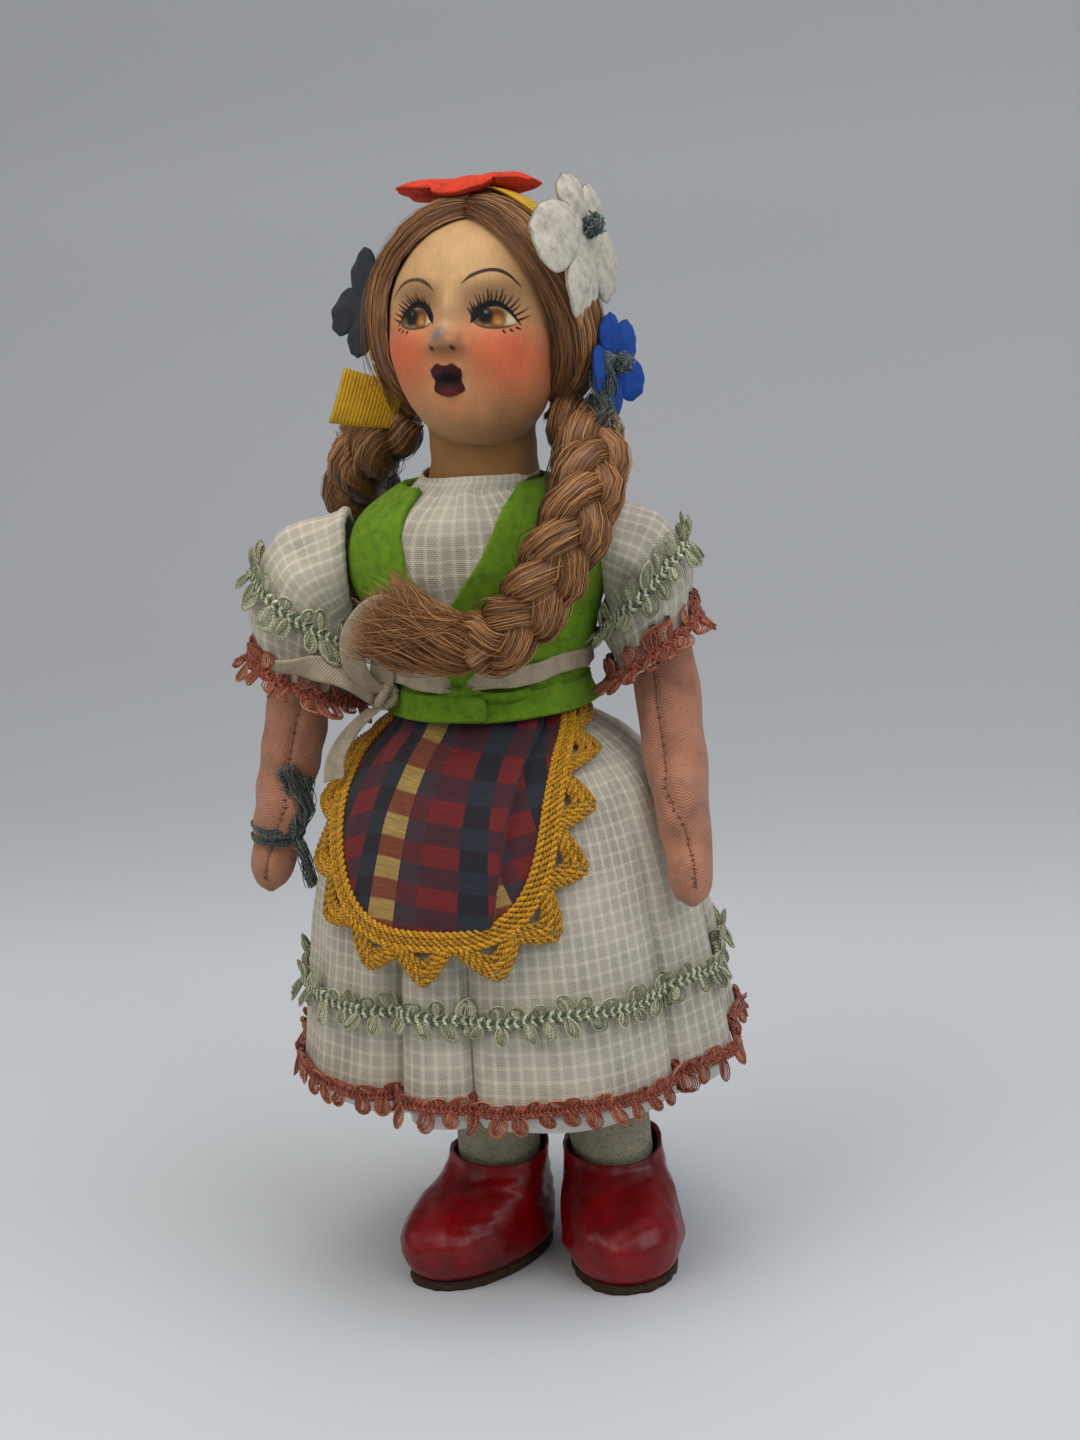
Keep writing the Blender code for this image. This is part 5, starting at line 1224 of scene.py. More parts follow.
    lay("#16070A", lips * stroke(mouth, z, [(-2.2, -9.7), (-0.8, -9.5), (0.8, -9.5), (2.2, -9.7)], 1.5))
    # Painted highlights: lighter red across the middle of the lower lip and in a small spot on the upper lip.
    lay("#7E2E30", lips * 0.75 * bump(mouth, z, (0.1, -11.0), (1.5, 0.38)))
    lay("#70282A", lips * 0.5 * bump(mouth, z, (-1.1, -8.5), (0.6, 0.35)))
    return np.clip(paint * (1 + 0.035 * fine[..., None]), 0, 1)


def make_face(sizes, colours):
    """The mask: the front of an ellipsoid narrowed to the jaw, with its relief, painted by face_paint."""
    t = np.linspace(-1, 1, 300)
    azimuth = np.radians(97) * (0.6 * t + 0.4 * t**3)
    s = np.linspace(0, 1, 255)[:, None]
    polar = np.radians(10 + 160 * (s + 0.45 / (2 * HALF_TURN) * np.sin(2 * HALF_TURN * s)))
    x, y = np.sin(polar) * np.sin(azimuth), -np.sin(polar) * np.cos(azimuth)
    z = np.cos(polar) + 0 * azimuth
    flat_x, flat_z = x * HEAD_HALF[0], z * HEAD_HALF[2]
    rise = face_rise(flat_x, flat_z + 1.1) * step(-y, 0.0, 0.35)
    lower = step(-flat_z, 6.0, 17.0)
    points = np.stack([x * (HEAD_HALF[0] + 0.35 * rise) * (1 + 0.06 * lower) + 0.9 * lower,
                       y * (HEAD_HALF[1] + rise) * (1 + 0.02 * lower),
                       z * (HEAD_HALF[2] + 0.15 * rise) * (1 + 0.15 * lower)], axis=-1)
    points = points + 0.10 * ripple(points, 6, 63)[..., None] * normals_of(points)
    tint = np.concatenate([face_paint(flat_x, flat_z + 1.1, colours), np.ones((*flat_x.shape, 1))], axis=-1)
    uv = np.stack(np.broadcast_arrays(azimuth * HEAD_HALF[0], -flat_z), axis=-1)
    piece("face_mask_cloth", grid(from_head(points), uv=uv), finish("painted_face_cloth"), "head",
          ["face_mask", "head_core"], colours=tint.reshape(-1, 4))

    turn = np.linspace(0, 2 * HALF_TURN, 97)[:-1]
    z = np.linspace(157.5, 139.9, 30)[:, None]
    radius = 9.0 + 0.35 * np.exp(-((z - 141) / 2.0) ** 2) + 1.2 * step(z, 147, 156)
    points = np.stack(np.broadcast_arrays(1.7 + 0.10 * (z - 140) * 0.5 + radius * np.cos(turn),
                                          0.2 - 0.03 * (z - 140) + radius * np.sin(turn), z), axis=-1)
    points = points + 0.2 * ripple(points, 7, 64)[..., None] * normals_of(points, True)
    uv = np.stack(np.broadcast_arrays(np.linspace(0, 54, 97), 158 - z), axis=-1)
    # Painted shade: the neck is painted a darker brown than the face, as the shade under the chin.
    paint = np.broadcast_to(np.array(linear("#94693C")), (30, 96, 4)).reshape(-1, 4)
    neck = piece("neck_cloth", grid(points, True, True, uv), finish("painted_face_cloth"), "head",
                 ["neck"], colours=paint)


def hair_keys(side):
    """Paths of the hair on one side, from the parting to the braid, as directions from the head's centre:
    rows from the face's edge round to the back, each (degrees round from the face, degrees down)."""
    if side > 0:
        keys = (((1, 30), (27, 43), (52, 74), (72, 104), (98, 130)),
                ((2, 22), (40, 36), (64, 74), (82, 106), (102, 132)),
                ((4, 8), (70, 38), (88, 74), (98, 106), (106, 133)),
                ((175, 30), (120, 48), (112, 78), (110, 108), (110, 134)),
                ((178, 62), (148, 70), (132, 88), (122, 112), (112, 136)),
                ((179, 96), (165, 98), (148, 106), (130, 120), (114, 138)))
    else:
        keys = (((-1, 30), (-29, 42), (-53, 70), (-57, 98), (-92, 128)),
                ((-2, 22), (-44, 36), (-68, 72), (-78, 104), (-100, 131)),
                ((-4, 8), (-70, 38), (-88, 74), (-98, 106), (-110, 132)),
                ((-175, 30), (-120, 48), (-112, 78), (-114, 108), (-120, 133)),
                ((-178, 62), (-148, 70), (-134, 88), (-128, 112), (-124, 135)),
                ((-179, 96), (-165, 98), (-150, 106), (-136, 120), (-128, 137)))
    angles = np.radians(np.array(keys, float))
    return np.stack([np.sin(angles[..., 1]) * np.sin(angles[..., 0]),
                     -np.sin(angles[..., 1]) * np.cos(angles[..., 0]), np.cos(angles[..., 1])], axis=-1)


def hair_paths(side, rows, stations):
    """Directions along the hair for any row from 0, the face's edge, to 1, the back's middle: the key paths
    blended between, first across and then along, by smooth curves."""
    keys = hair_keys(side)
    across = np.stack([smooth_line(keys[:, k], 120) for k in range(keys.shape[1])], axis=1)
    place = np.clip(np.asarray(rows) * 119, 0, 118.99)
    first, part = place.astype(int), (place % 1)[:, None, None]
    chosen = across[first] * (1 - part) + across[first + 1] * part
    t = np.linspace(0, chosen.shape[1] - 1, stations)
    i = np.minimum(t.astype(int), chosen.shape[1] - 2)
    f = (t - i)[None, :, None]
    padded = np.concatenate([2 * chosen[:, :1] - chosen[:, 1:2], chosen, 2 * chosen[:, -1:]
                             - chosen[:, -2:-1]], axis=1)
    a, b, c, d = padded[:, i], padded[:, i + 1], padded[:, i + 2], padded[:, i + 3]
    return unit((2 * b + (c - a) * f + (2 * a - 5 * b + 4 * c - d) * f**2
                 + (3 * b - a - 3 * c + d) * f**3) / 2)


def make_hair(sizes):
    """Mohair over the head: a streaked cap, fine fibres from the parting down to each braid, and stray
    hairs."""
    random = np.random.default_rng(5)

    def swell(rows, t, side):
        """How far the hair lies off the head: little at the face's edge, and most over the ears."""
        mound = np.sin(HALF_TURN * np.clip(t * 0.85 + 0.13, 0, 1)) ** 0.7
        fuller = 2.4 * np.exp(-((t - 0.72) / 0.22) ** 2) * (side > 0)
        return (1.4 + 1.6 * mound + fuller) * (0.22 + 0.78 * step(rows, 0.0, 0.10))

    caps = []
    for side, name in ((1, "left"), (-1, "right")):
        t = np.linspace(0, 1, 40)
        rows = np.linspace(0, 1, 110)[:, None]
        ways = hair_paths(side, rows[:, 0], 40)
        locks = np.sin(rows * 61 + 0.9 * np.sin(t * 5 + rows * 9)) + 0.6 * np.sin(rows * 139)
        points = ways * (HEAD_HALF + (swell(rows, t, side) + 0.15 * locks)[..., None])
        uv = np.stack(np.broadcast_arrays(rows * 2.2, lengths(points[50])), axis=-1)
        caps.append(grid(from_head(points), uv=uv, tint=0.34 + 0.05 * locks, turn=side < 0))
        count = sizes.hair_count
        t = np.linspace(0, 1, 13)
        rows = random.uniform(0, 1, (count, 1)) ** 1.25
        ways = hair_paths(side, rows[:, 0], 13)
        depth = random.uniform(0, 1, (count, 1))
        out = (swell(rows, t, side) * (0.9 + 0.32 * depth)
               + 0.18 * np.sin(rows * 61 + 0.9 * np.sin(t * 5 + rows * 9)))
        ways = ways + random.normal(0, 0.012, (count, 1, 3)) + 0.016 * np.sin(
            t[None, :, None] * random.uniform(3, 9, (count, 1, 1)) + random.uniform(0, 6, (count, 1, 3)))
        points = unit(ways) * (HEAD_HALF + out[..., None])
        streak = np.sin(rows[:, 0] * 173 + 3 * np.sin(rows[:, 0] * 40)) * np.sin(rows[:, 0] * 71)
        # Painted shade: fibres lying deeper in the hair are darker, those further out lighter; streaks and
        # noise vary the rest.
        tint = np.clip(0.34 + 0.22 * depth[:, 0] + 0.26 * streak + random.normal(0, 0.17, count), 0.02, 0.98)
        width = np.interp(t, (0, 0.1, 0.85, 1), (0.6, 1, 1, 0.5)) * random.uniform(0.045, 0.08, (count, 1))
        piece(name + "_hair_locks", threads(from_head(points), width, 3, tint), finish("mohair"),
              "head", ["hair"] if side > 0 else ())
    piece("hair_cap", caps, finish("mohair"), "head", thickness=0.4)

    strays = []
    for side in (1, -1):
        count = 80 if side > 0 else 45
        rows = random.uniform(0, 1, count) ** 1.4
        ways = hair_paths(side, rows, 16)
        t = np.linspace(0, 1, 16)
        lift = (random.uniform(0.4, 3.6, (count, 1))
                * np.sin(HALF_TURN * t * random.uniform(0.4, 1.0, (count, 1))))
        sway = (0.05 * np.sin(t[None, :, None] * random.uniform(2, 14, (count, 1, 3))
                              + random.uniform(0, 6, (count, 1, 3))))
        points = unit(ways + sway) * (HEAD_HALF + 2.2 + lift[..., None])
        strays.append(threads(from_head(points), 0.03, 3, random.uniform(0.3, 0.7, count)))
    piece("stray_hairs", strays, finish("mohair"), "head")


def plait(line, out, radius, pitch, fibres, seed, start=0.0):
    """A three-strand plait along a line: each strand swings across as a sine and in and out as the sine of
    twice the angle, a third of a turn after the last, and is a streaked core with loose fibres round it."""
    random = np.random.default_rng(seed)
    reach = lengths(line)
    along = unit(np.gradient(line, axis=0))
    out = unit(out - (out * along).sum(-1, keepdims=True) * along)
    across = np.cross(along, out)
    slim = np.interp(reach / reach[-1], (0, 0.12, 0.85, 1), (0.72, 1, 0.94, 0.85))[:, None]
    parts = []
    for k in range(3):
        phase = (2 * HALF_TURN * (reach / pitch + k / 3) + start)[:, None]
        middle = line + slim * radius * (0.49 * np.sin(phase) * across + 0.31 * np.sin(2 * phase) * out)
        thick = radius * 0.53 * slim[:, 0] * (1 + 0.05 * np.sin(reach * 1.9 + k * 2))
        # Painted light and shade: each core is lighter where its strand comes out to the braid's face and
        # darker where it dips into the hollows.
        hollow = 0.5 + 0.5 * np.tanh(((middle - line) * out).sum(-1) / radius * 2.2 + 0.5)
        parts.append(threads(middle, thick[None] * 0.95, 26, (0.06 + 0.40 * hollow)[None, :, None],
                             twist=0.018))
        own = unit(np.gradient(middle, axis=0))
        side = unit(np.cross(own, out))
        up = np.cross(own, side)
        angle = random.uniform(0, 2 * HALF_TURN, (fibres, 1)) + 0.11 * reach + 0.25 * np.sin(
            reach * random.uniform(0.15, 0.4, (fibres, 1)))
        share = (random.uniform(0.90, 1.05, (fibres, 1))
                 + 0.05 * np.sin(reach * random.uniform(0.3, 0.9, (fibres, 1)) + angle))
        share = share + (random.uniform(0, 1, (fibres, 1)) > 0.90) * 0.34 * np.sin(reach * 0.45 + angle)
        paths = (middle + (share * thick * np.cos(angle))[..., None] * side
                 + (share * thick * np.sin(angle))[..., None] * up)
        tint = np.clip(random.normal(0.52, 0.17, fibres), 0.1, 0.98)
        # Painted highlight and shade: fibres are lighter on the strands' crests and darker in the hollows
        # between them.
        hollow = 0.5 + 0.5 * np.tanh(((paths - line) * out).sum(-1) / radius * 2.2 + 0.4)
        streak = 0.20 * np.sin(angle[:, :1] * 7 + k) + 0.12 * np.sin(angle[:, :1] * 17)
        shade = np.clip((tint[:, None] + streak) * (0.06 + 1.28 * hollow**1.4), 0.02, 0.98)
        parts.append(threads(paths, random.uniform(0.045, 0.08, (fibres, 1)), 3, shade[:, :, None]))
    return parts


def tuft(start, ways, long, radius, count, seed, spread=1.0):
    """A brushed end: fibres that leave a disc and open out along a line, each with its own curl, cut off to
    nearly one length."""
    random = np.random.default_rng(seed)
    t = np.linspace(0, 1, 16)
    line = start + smooth_line(ways, 16) * long
    paths = strand_bundle(line, radius, count, seed, 0.55, frayed=spread)
    squeeze = np.interp(t, (0, 0.2, 1), (0.78, 1.0, 1.0))[:, None]
    paths = line + (paths - line) * squeeze
    curl = 0.50 * np.sin(t[None, :, None] * random.uniform(3, 12, (count, 1, 3))
                         + random.uniform(0, 6, (count, 1, 3))) * t[None, :, None]
    keep = random.uniform(0.86, 1.05, (count, 1, 1)) + 0.12 * (random.uniform(0, 1, (count, 1, 1)) > 0.95)
    paths = paths[:, :1] + (paths + curl - paths[:, :1]) * keep
    width = np.interp(t, (0, 0.8, 1), (1, 1, 0.5)) * random.uniform(0.04, 0.07, (count, 1))
    # Painted shade: fibres near the middle of the bundle are darker, those at its outside lighter.
    off = np.linalg.norm(paths[:, 8] - line[8], axis=-1) / (radius * 1.2)
    return threads(paths, width, 3, np.clip(0.34 + 0.22 * off + random.normal(0, 0.13, count), 0.05, 0.98))


LEFT_BRAID = ((18.0, -3.0, 151.5), (21.2, -10.5, 145.4), (20.2, -19.5, 138.0), (15.4, -22.8, 129.0),
              (10.0, -22.4, 121.4), (5.0, -22.0, 117.2), (0.4, -22.2, 116.6))
RIGHT_BRAID = ((-11.0, 8.0, 151.7), (-18.0, 11.0, 147.8), (-22.9, 16.5, 140.0), (-22.4, 21.5, 129.9),
               (-19.0, 23.5, 119.0), (-16.0, 23.5, 110.0))


def braid(name, route, out, radius, seed, start, ways, long, nodes, fibres, ends):
    """One braid and its brushed end. It hangs from the head, and its lower part stays on the body."""
    line = smooth_line(route, 62)
    hair = piece(name + "_plait", plait(line, out, radius, 21.0, fibres, seed, start), finish("mohair"),
                 None, [nodes[0]])
    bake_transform(hair)
    end = line[-1] - unit(line[-1] - line[-2]) * 2.0
    core = threads(end + smooth_line(ways, 16) * long * 0.85,
                   np.interp(np.linspace(0, 1, 16), (0, 0.3, 1), (3.0, 3.6, 2.6)), 16, 0.30)
    piece(name + "_brushed_end", [tuft(end, ways, long, 4.6, ends, seed + 1, 1.7), core],
          finish("mohair"), "body", [nodes[1]])


def make_braids(sizes):
    """Both braids and their brushed ends."""
    t = np.linspace(0, 1, 62)
    out = np.stack([np.interp(t, (0, 0.4, 1), (0.75, 0.35, 0.1)), np.full(62, -1.0), np.full(62, 0.1)], 1)
    braid("left_braid", LEFT_BRAID, out, 6.3, 11, 0.6,
          ((0, 0, 0), (-0.32, -0.04, 0.03), (-0.66, -0.05, 0.15), (-1.0, 0.0, 0.34)), 17.5,
          ("left_braid", "left_braid_tassel"), 150, 1400)
    out = np.stack([np.full(62, -0.8), np.interp(t, (0, 0.5, 1), (-0.6, 0.3, 1.0)), np.full(62, 0.2)], 1)
    braid("right_braid", RIGHT_BRAID, out, 7.4, 13, 1.8,
          ((0, 0, 0), (0.05, 0.0, -0.35), (0.12, -0.03, -0.7), (0.18, -0.08, -1.0)), 18.0,
          ("right_braid", "right_braid_tassel"), 80, 420)


def petal_shell(radius, count, thick, seed, notch=0.5, drawn=0.0, towards=0.0, rows=32, columns=220):
    """A felt flower as a closed shell: its outline reaches out as a power of a sine's size, once for each
    petal, more on one side where it is drawn out; its faces crown in each petal and round off at the edge."""
    turn = np.linspace(0, 2 * HALF_TURN, columns, endpoint=False)
    random = np.random.default_rng(seed)
    sizes = random.uniform(0.90, 1.08, count)
    which = np.floor(turn * count / (2 * HALF_TURN)).astype(int) % count
    lobe = np.abs(np.sin(turn * count / 2))
    reach = radius * (1 - notch + notch * lobe ** 0.42) * (1 + (sizes[which] - 1) * lobe ** 0.5)
    reach = reach * (1 + drawn * np.cos(turn - towards))
    t = np.linspace(0, 1, rows)[:, None]
    top = t < 0.5
    share = np.clip(np.where(top, t / 0.47, (1 - t) / 0.47), 0, 1) ** 0.8
    crown = (thick * (0.5 - 0.42 * share ** 7)
             * (0.66 + 0.34 * lobe * np.sin(HALF_TURN * np.clip(share, 0, 1))))
    height = np.where(top, crown, -crown)
    height = np.where(np.abs(t - 0.5) < 0.03, 0 * height, height)
    tilt = random.uniform(-1, 1, count)[which] * lobe * share ** 1.5 * thick * 0.35
    edge = reach * share * (1 + 0.012 * np.sin(turn * 23) * share)
    return np.stack(np.broadcast_arrays(edge * np.cos(turn), edge * np.sin(turn), height + tilt), axis=-1)


def place_flower(points, direction, seat, spin):
    """Turns a shell whose middle is at the origin and whose face looks along +Z to face a direction."""
    facing = np.array(Vector(direction).to_track_quat("Z", "Y").to_matrix() @ Matrix.Rotation(spin, 3, "Z"))
    return points @ facing.T + seat


def wool_centre(seat, radius, seed):
    """A flower's wool centre: a ball of short looped yarn."""
    random = np.random.default_rng(seed)
    count = 130
    t = np.linspace(0, 1, 12)
    spots = unit(random.normal(size=(count, 1, 3))) * radius * random.uniform(0.2, 0.8, (count, 1, 1))
    ends = unit(random.normal(size=(count, 1, 3))) * radius * random.uniform(0.6, 1.1, (count, 1, 1))
    paths = (spots + (ends - spots) * t[None, :, None]
             + 0.5 * np.sin(t[None, :, None] * 9 + random.uniform(0, 6, (count, 1, 3))))
    return threads(paths + seat, 0.13, 4, random.uniform(0.1, 0.9, count))


def head_seat(azimuth, height, out, slide=0.0):
    """The point of the head's ellipsoid with a normal in this direction, and the direction."""
    a, h = math.radians(azimuth), math.radians(height)
    n = np.array((math.sin(a) * math.cos(h), -math.cos(a) * math.cos(h), math.sin(h)))
    seat = HEAD_HALF**2 * n / np.linalg.norm(HEAD_HALF * n) + out * n
    down = np.array((0, 0, -1.0))
    return seat + (down - n * (down @ n)) * slide, n


def make_flowers(sizes):
    """The felt flowers and their wool centres. Each faces a direction given in degrees round from the face
    and up, is moved from its seat by a shift in the head's frame, and is bent about its upright middle."""
    for name, seated, facing, shift, radius, spin, thick, notch, drawn, bend, wave in (
            ("red", (200, 80), (-58, 82), (-1.6, 0.0, -0.4), 12.2, 0.15, 3.3, 0.30, 0.0, -0.012, 0.8),
            ("white", (80, 32), (84, 6), (1.9, -0.6, 0.6), 13.6, 0.24, 2.8, 0.50, 0.33, -0.006, 0.6),
            ("blue", (98, -8), (80, -4), (1.6, 2.6, -2.4), 9.6, 0.30, 2.0, 0.48, 0.05, 0.022, 0.7),
            ("grey", (-112, 8), (-34, 4), (-3.4, -1.2, 1.0), 10.4, 0.1, 2.0, 0.48, 0.0, 0.0, 0.6)):
        seed = {"red": 1, "white": 2, "blue": 3, "grey": 4}[name]
        seat, _ = head_seat(*seated, 5.6)
        _, way = head_seat(*facing, 0)
        seat = seat + shift
        shell = petal_shell(radius, 5, thick, seed, notch, drawn, 1.5 * HALF_TURN - spin)
        turn = np.arctan2(shell[..., 1], shell[..., 0]) + spin
        far = np.hypot(shell[..., 0], shell[..., 1])
        bowed = bend * (far * np.cos(turn)) ** 2
        shell[..., 2] += bowed + wave * np.sin(turn * 3
                + seed) * (far / radius) ** 2 + 0.22 * ripple(shell, 3.5, 70 + seed)
        placed = from_head(place_flower(shell, way, seat, spin))
        piece(name + "_flower_felt", grid(placed, True, turn=True), finish(name + "_felt"), "head",
              [name + "_flower"])
        if name in ("white", "blue"):
            parts = [wool_centre(from_head(seat + way * (thick * 0.5 + 0.6)), 1.9, 20 + seed)]
            if name == "blue":
                hang = from_head(seat + way * (thick * 0.5 + 0.6)) + smooth_line(
                    ((-2.0, -2.6, 2.0), (-3.0, -4.0, -1.0), (-3.0, -4.8, -4.5), (-3.8, -4.6, -8.0),
                     (-3.8, -4.2, -11.0)), 24)
                parts.append(threads(strand_bundle(hang, 1.5, 190, 27, 1.1, frayed=1.6), 0.085, 3,
                                     np.random.default_rng(28).uniform(0.2, 1.0, 190)))
            piece(name + "_flower_wool", parts, finish("green_grey_wool"), "head",
                  [name + "_flower_centre"])


def make_headband(sizes):
    """The grosgrain ribbon over the crown, and the two ends that stand off the head."""
    angles = np.radians(np.linspace(-8, 196, 90))
    half = HEAD_HALF + 4.1
    rows = []
    for share in np.linspace(-0.5, 0.5, 9):
        y = 3.0 + 9.5 * share - 4.2 * np.exp(-((angles - 1.05) / 0.45) ** 2)
        drawn = np.sqrt(1 - (y / half[1]) ** 2)
        rows.append(np.stack([half[0] * drawn * np.cos(angles), y, half[2] * drawn * np.sin(angles)], 1))
    band = from_head(np.array(rows))
    uv = np.stack(np.broadcast_arrays(np.linspace(0, 9.5, 9)[:, None], lengths(band[4])), axis=-1)
    piece("headband_grosgrain", grid(band, uv=uv), finish("yellow_grosgrain"), "head",
          ["headband_ribbon"], 0.4)
    left_start, right_start = band[4, 0], band[4, -1]
    t = np.linspace(0, 1, 34)[:, None]
    line = smooth_line((right_start + (-0.4, 0, 0.5), (-12.6, 5.4, 153.6), (-17.0, 3.4, 154.0),
                        (-22.6, 1.2, 155.8)), 34)
    lay = (np.array((0.1, 1.0, 0.1)) * (1 - step(t, 0.0, 0.35)) + np.array((0.34, 0.22, 1.0))
           * step(t, 0.0, 0.35))
    ribbon("headband_right_tail", line, lay, np.linspace(6.4, 9.6, 34), "yellow_grosgrain", "head",
           ["headband_right_end"], curl=0.4)
    line = left_start + smooth_line(((0, 0.2, -1.1), (-1.1, 2.5, -4.5), (-3.2, 4.5, -8.5), (-4.6, 5.9, -13.3),
                                     (-0.5, 5.7, -20.9)), 40)
    ribbon("headband_left_tail", line, np.tile((0.1, 1, 0), (40, 1)), np.linspace(6.7, 9.5, 40),
           "yellow_grosgrain", "head", ["headband_left_end"], curl=0.4)


def make_waist_tape(sizes):
    """The cotton tape round the waist, its knot, its loop, and its two ends."""
    turn = np.linspace(-HALF_TURN, HALF_TURN, 201)[:-1]
    rows = []
    for share in np.linspace(0.5, -0.5, 7):
        z = WAIST + 2.6 + 3.2 * share + 0.6 * np.sin(turn * 2 + 2.2) + 0.25 * np.sin(turn * 7)
        points = body_points(turn, np.maximum(z, WAIST), np.interp(z, (WAIST, 120.7), (5.4, 2.2)) + 1.2)
        points[..., 2] = z
        rows.append(points + 0.18 * np.sin(turn * 19)[:, None]
                    * np.stack([np.cos(turn), np.sin(turn), 0 * turn], 1))
    rows = np.array(rows)
    uv = np.stack(np.broadcast_arrays(np.linspace(0, 3.2, 7)[:, None], np.linspace(0, 100, 201)), axis=-1)
    piece("waist_tape", grid(rows, True, uv=uv), finish("beige_tape"), "body",
          ["waist_ribbon"], 0.4)
    low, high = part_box("waist_bow_knot")
    knot = (np.array(low) + np.array(high)) / 2 / MM
    t = np.linspace(0, 2 * HALF_TURN, 40)
    wraps = []
    for a, b in (((1, 0, 0), (0, 0.5, 1)), ((0, 1, 0.2), (0.6, 0, 0.9))):
        wraps.append(knot + 1.9 * (np.cos(t)[:, None] * np.array(a, float) + np.sin(t)[:, None]
                                   * unit(np.array(b, float))))
    piece("waist_tape_knot", threads(np.array(wraps), 0.95, 8, 0.5), finish("beige_tape"), "body",
          ["waist_bow_knot"])
    for name, route, across, wide, node in (
            ("loop", ((-0.8, -2.0, 1.0), (-3.4, -4.6, 6.0), (-3.0, -5.6, 12.0), (0.4, -5.6, 16.6),
                      (3.6, -4.6, 17.4),
                      (3.2, -3.2, 13.5), (1.0, -2.2, 6.0), (0.2, -1.4, 1.4)), (1, 0.35, -0.15),
             4.0, "waist_bow_loop"),
            ("upper_tail", ((-1.5, -1.8, 0.8), (-5.5, -4.2, 4.2), (-10.5, -5.4, 6.4), (-16.5, -6.0, 7.0)),
             (0.15, 0.1, 1), 4.2, "waist_bow_upper_tail"),
            ("lower_tail", ((-1.0, -1.8, -1.6), (-4.6, -4.6, -4.4), (-7.6, -6.4, -8.8),
                            (-8.4, -7.0, -13.0)), (1, 0.1, 0.2), 3.4,
             "waist_bow_lower_tail")):
        line = knot + smooth_line(route, 50)
        turnings = np.linspace(0, 1, 50)[:, None]
        lay = unit(np.array(across, float)) + (0.9 * np.sin(turnings * 5) * np.array((0, 1, 0.3))
                                               if name == "upper_tail" else 0)
        tape = ribbon("waist_tape_" + name, line, np.broadcast_to(lay, (50, 3)), np.full(50, wide),
                      "beige_tape", "body", [node], 0.35, curl=0.35)
        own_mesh(tape)


def make_stage(sizes):
    """A pale sweep that curves up behind the doll, soft lamps, and the camera at the photograph's angle.

    The sweep is a floor, a quarter circle and a wall; its grey darkens up the wall."""
    profile = np.array([(-900.0, 0.0), (-300, 0), (0, 0), (180, 0), (300, 12), (400, 60), (470, 150),
                        (500, 300), (520, 900), (540, 1800)])
    line = smooth_line(profile, 80)
    x = np.linspace(-1500, 1500, 40)
    points = np.stack(np.broadcast_arrays(x[None], line[:, :1], line[:, 1:]), axis=-1)
    made = bpy.data.materials.new("matt_pale_sweep")
    made.use_nodes = True
    tree = made.node_tree
    shader = tree.nodes["Principled BSDF"]
    shader.inputs["Roughness"].default_value = 0.95
    shader.inputs["Specular IOR Level"].default_value = 0.1
    where = add(tree, "TexCoord")
    split = add(tree, "SeparateXYZ", {0: where.outputs["Object"]})
    # Painted shade: the grey darkens from the floor up the wall, away from the lamps.
    back = add(tree, "MapRange", {"Value": split.outputs[1], "From Min": 0.05, "From Max": 0.36})
    colour = ramp(tree, back, ((0.0, linear("#C9CDD1")), (0.35, linear("#C6CACE")), (0.75, linear("#AEB1B5")),
                               (1.0, linear("#A6A8AC"))))
    tree.links.new(colour.outputs[0], shader.inputs["Base Color"])
    part = grid(points, turn=True)
    mesh = bpy.data.meshes.new("studio_sweep")
    mesh.from_pydata((part["points"] * MM).tolist(), [], [face.tolist() for face in part["faces"][0]])
    mesh.polygons.foreach_set("use_smooth", np.ones(len(mesh.polygons), bool))
    mesh.materials.append(made)
    sweep = bpy.data.objects.new("studio_sweep", mesh)
    bpy.context.scene.collection.objects.link(sweep)

    world = bpy.data.worlds.new("soft_room")
    world.use_nodes = True
    world.node_tree.nodes["Background"].inputs[0].default_value = linear("#EEF4FA")
    world.node_tree.nodes["Background"].inputs[1].default_value = 0.26
    bpy.context.scene.world = world
    for name, place, size, power, tint in (("window", (-0.30, -0.30, 0.58), 0.56, 2.0, "#FFF8EE"),
                                           ("reflector", (0.60, -0.40, 0.85), 1.0, 6.0, "#F8FAFF"),
                                           ("above", (0.05, 0.1, 1.1), 0.7, 3.4, "#FFFCF6")):
        lamp = bpy.data.lights.new(name, "AREA")
        lamp.shape, lamp.size, lamp.energy, lamp.color = "SQUARE", size, power, linear(tint)[:3]
        obj = bpy.data.objects.new(name, lamp)
        obj.location = place
        obj.rotation_euler = (Vector((0, 0, 0.1)) - Vector(place)).to_track_quat("-Z", "Y").to_euler()
        bpy.context.scene.collection.objects.link(obj)

    azimuth, elevation = math.radians(sizes.azimuth), math.radians(sizes.elevation)
    roll = math.radians(sizes.roll)
    back = Vector((math.sin(azimuth) * math.cos(elevation), -math.cos(azimuth) * math.cos(elevation),
                   math.sin(elevation)))
    right = Vector((0, 0, 1)).cross(back).normalized()
    up = back.cross(right)
    turned_right = math.cos(roll) * right + math.sin(roll) * up
    turned_up = -math.sin(roll) * right + math.cos(roll) * up
    target = Vector((sizes.aim_x, 0, sizes.aim_z)) * MM
    camera = bpy.data.objects.new("camera", bpy.data.cameras.new("camera"))
    camera.data.sensor_fit, camera.data.sensor_height = "VERTICAL", 24
    camera.data.lens = sizes.focal
    camera.data.clip_start = 0.01
    turned = Matrix((turned_right, turned_up, back)).transposed().to_4x4()
    camera.matrix_world = Matrix.Translation(target + back * sizes.distance * MM) @ turned
    bpy.context.scene.collection.objects.link(camera)
    bpy.context.scene.camera = camera
    bpy.context.scene.view_settings.view_transform = "Standard"


class DollColours(bpy.types.PropertyGroup):
    """Colours of the doll's cloth, hair, felt and leathercloth."""


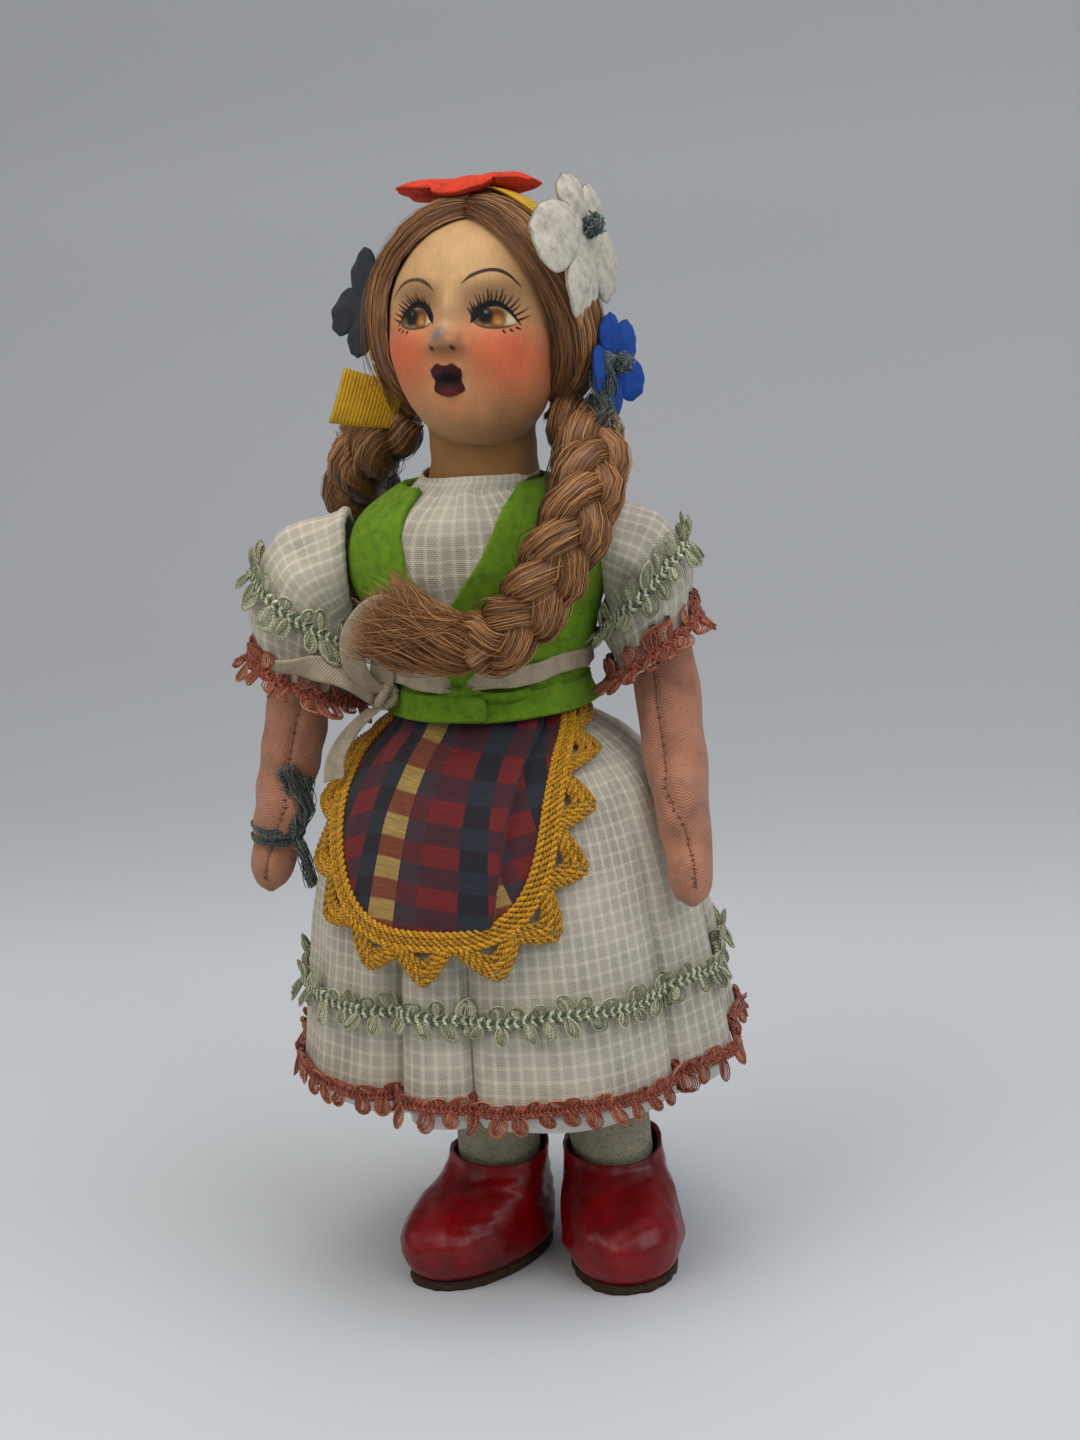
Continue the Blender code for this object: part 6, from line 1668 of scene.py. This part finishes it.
class DollSizes(bpy.types.PropertyGroup):
    """Counts and places that a user would change."""
    hair_count: bpy.props.IntProperty(name="Hair fibres",
                                      description="Fibres of mohair on each side of the parting",
                                      default=1600, min=50, max=2400)
    azimuth: bpy.props.FloatProperty(name="Camera azimuth",
                                     description="Degrees round from the front to the doll's left",
                                     default=8.0)
    elevation: bpy.props.FloatProperty(name="Camera height",
                                       description="Degrees up from the doll's middle", default=14.0)
    roll: bpy.props.FloatProperty(name="Camera roll",
                                  description="Degrees that the doll leans in the picture", default=-4.4)
    aim_x: bpy.props.FloatProperty(name="Aim across", description="Millimetres to the doll's left",
                                   default=8.0)
    aim_z: bpy.props.FloatProperty(name="Aim up", description="Millimetres above the floor", default=98.0)
    distance: bpy.props.FloatProperty(name="Camera distance", description="Millimetres from the aim",
                                      default=450.0)
    focal: bpy.props.FloatProperty(name="Focal length",
                                   description="Lens in millimetres for a 24 mm high sensor",
                                   default=43.5)


PALETTE = (("skin", "Face cloth", "#CFA26F"), ("cheeks", "Cheek rouge", "#E0764C"),
           ("lips", "Lips", "#3E1118"),
           ("hair", "Mohair", "#7C5028"), ("dimity", "Checked dimity", "#C6BEAC"),
           ("lining", "White lining", "#D8D4CC"),
           ("green_felt", "Vest felt", "#6E9A10"), ("red_felt", "Red flower", "#E8380F"),
           ("white_felt", "White flower", "#E2D8C4"), ("blue_felt", "Blue flower", "#0B49A6"),
           ("grey_felt", "Grey flower", "#2C3036"), ("arms", "Arms", "#B87D60"), ("legs", "Legs", "#A39A80"),
           ("shoes", "Shoes", "#86050C"), ("soles", "Soles", "#33200F"),
           ("lace", "Crochet edging", "#D2960C"),
           ("ribbon", "Headband", "#D0A008"), ("tape", "Waist tape", "#B2A288"))
for key, label, hex_value in PALETTE:
    DollColours.__annotations__ = {**DollColours.__dict__.get("__annotations__", {}),
                                   key: bpy.props.FloatVectorProperty(
        name=label, description=f"Colour of the {label.lower()}", subtype="COLOR", size=3, min=0, max=1,
        default=linear(hex_value)[:3])}


def operator(key, label, words, make):
    """An operator class that makes one group of pieces."""
    def execute(self, context):
        make(context.scene.doll_sizes)
        return {"FINISHED"}
    return type("DOLL_OT_" + key, (bpy.types.Operator,),
                {"bl_idname": "doll." + key, "bl_label": label, "__doc__": words,
                                                          "bl_options": {"REGISTER", "UNDO"},
                 "execute": execute})


OPERATORS = (
    operator("stage", "Stage", "Makes the sweep, the lamps and the camera", make_stage),
    operator("legs", "Legs and shoes", "Makes both stockinet legs, the shoes and the soles",
             lambda sizes: (make_leg(1, "left", math.radians(12), sizes),
                            make_leg(-1, "right", math.radians(36), sizes))),
    operator("bodice", "Blouse and vest", "Makes the dimity blouse and the felt vest", make_bodice),
    operator("skirt", "Skirt", "Makes the skirt, the petticoat and their gimp", make_skirt),
    operator("apron", "Apron", "Makes the plaid apron and its crocheted edging", make_apron),
    operator("arms", "Arms and sleeves", "Makes both arms, the sleeves and their gimp",
             lambda sizes: (make_arm(1, "left", LEFT_HAND, sizes), make_arm(-1, "right", RIGHT_HAND, sizes))),
    operator("yarn", "Wrist yarn", "Makes the wool tied round the right wrist", make_wrist_yarn),
    operator("tape", "Waist tape", "Makes the tape round the waist, its knot, loop and ends",
             make_waist_tape),
    operator("face", "Face and neck", "Makes the painted mask and the neck",
             lambda sizes: make_face(sizes, bpy.context.scene.doll_colours)),
    operator("hair", "Hair", "Makes the mohair cap, its locks and stray hairs", make_hair),
    operator("braids", "Braids", "Makes both braids and their brushed ends", make_braids),
    operator("flowers", "Felt flowers", "Makes the four felt flowers and their wool", make_flowers),
    operator("headband", "Headband", "Makes the grosgrain headband and its ends", make_headband),
)


class DOLL_PT_panel(bpy.types.Panel):
    """Lists the doll's pieces in the sidebar."""
    bl_label = "Rag doll"
    bl_space_type = "VIEW_3D"
    bl_region_type = "UI"
    bl_category = "Rag doll"

    def draw(self, context):
        for made in OPERATORS:
            self.layout.operator(made.bl_idname)
        for key, _, _ in PALETTE:
            self.layout.prop(context.scene.doll_colours, key)
        for key in DollSizes.__annotations__:
            self.layout.prop(context.scene.doll_sizes, key)


def register():
    for made in (DollColours, DollSizes, *OPERATORS, DOLL_PT_panel):
        bpy.utils.register_class(made)
    bpy.types.Scene.doll_colours = bpy.props.PointerProperty(type=DollColours)
    bpy.types.Scene.doll_sizes = bpy.props.PointerProperty(type=DollSizes)


def unregister():
    del bpy.types.Scene.doll_colours
    del bpy.types.Scene.doll_sizes
    for made in (DOLL_PT_panel, *OPERATORS[::-1], DollSizes, DollColours):
        bpy.utils.unregister_class(made)


def main():
    register()
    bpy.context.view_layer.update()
    for made in OPERATORS:
        getattr(bpy.ops.doll, made.bl_idname.split(".")[1])()


if __name__ == "__main__":
    main()
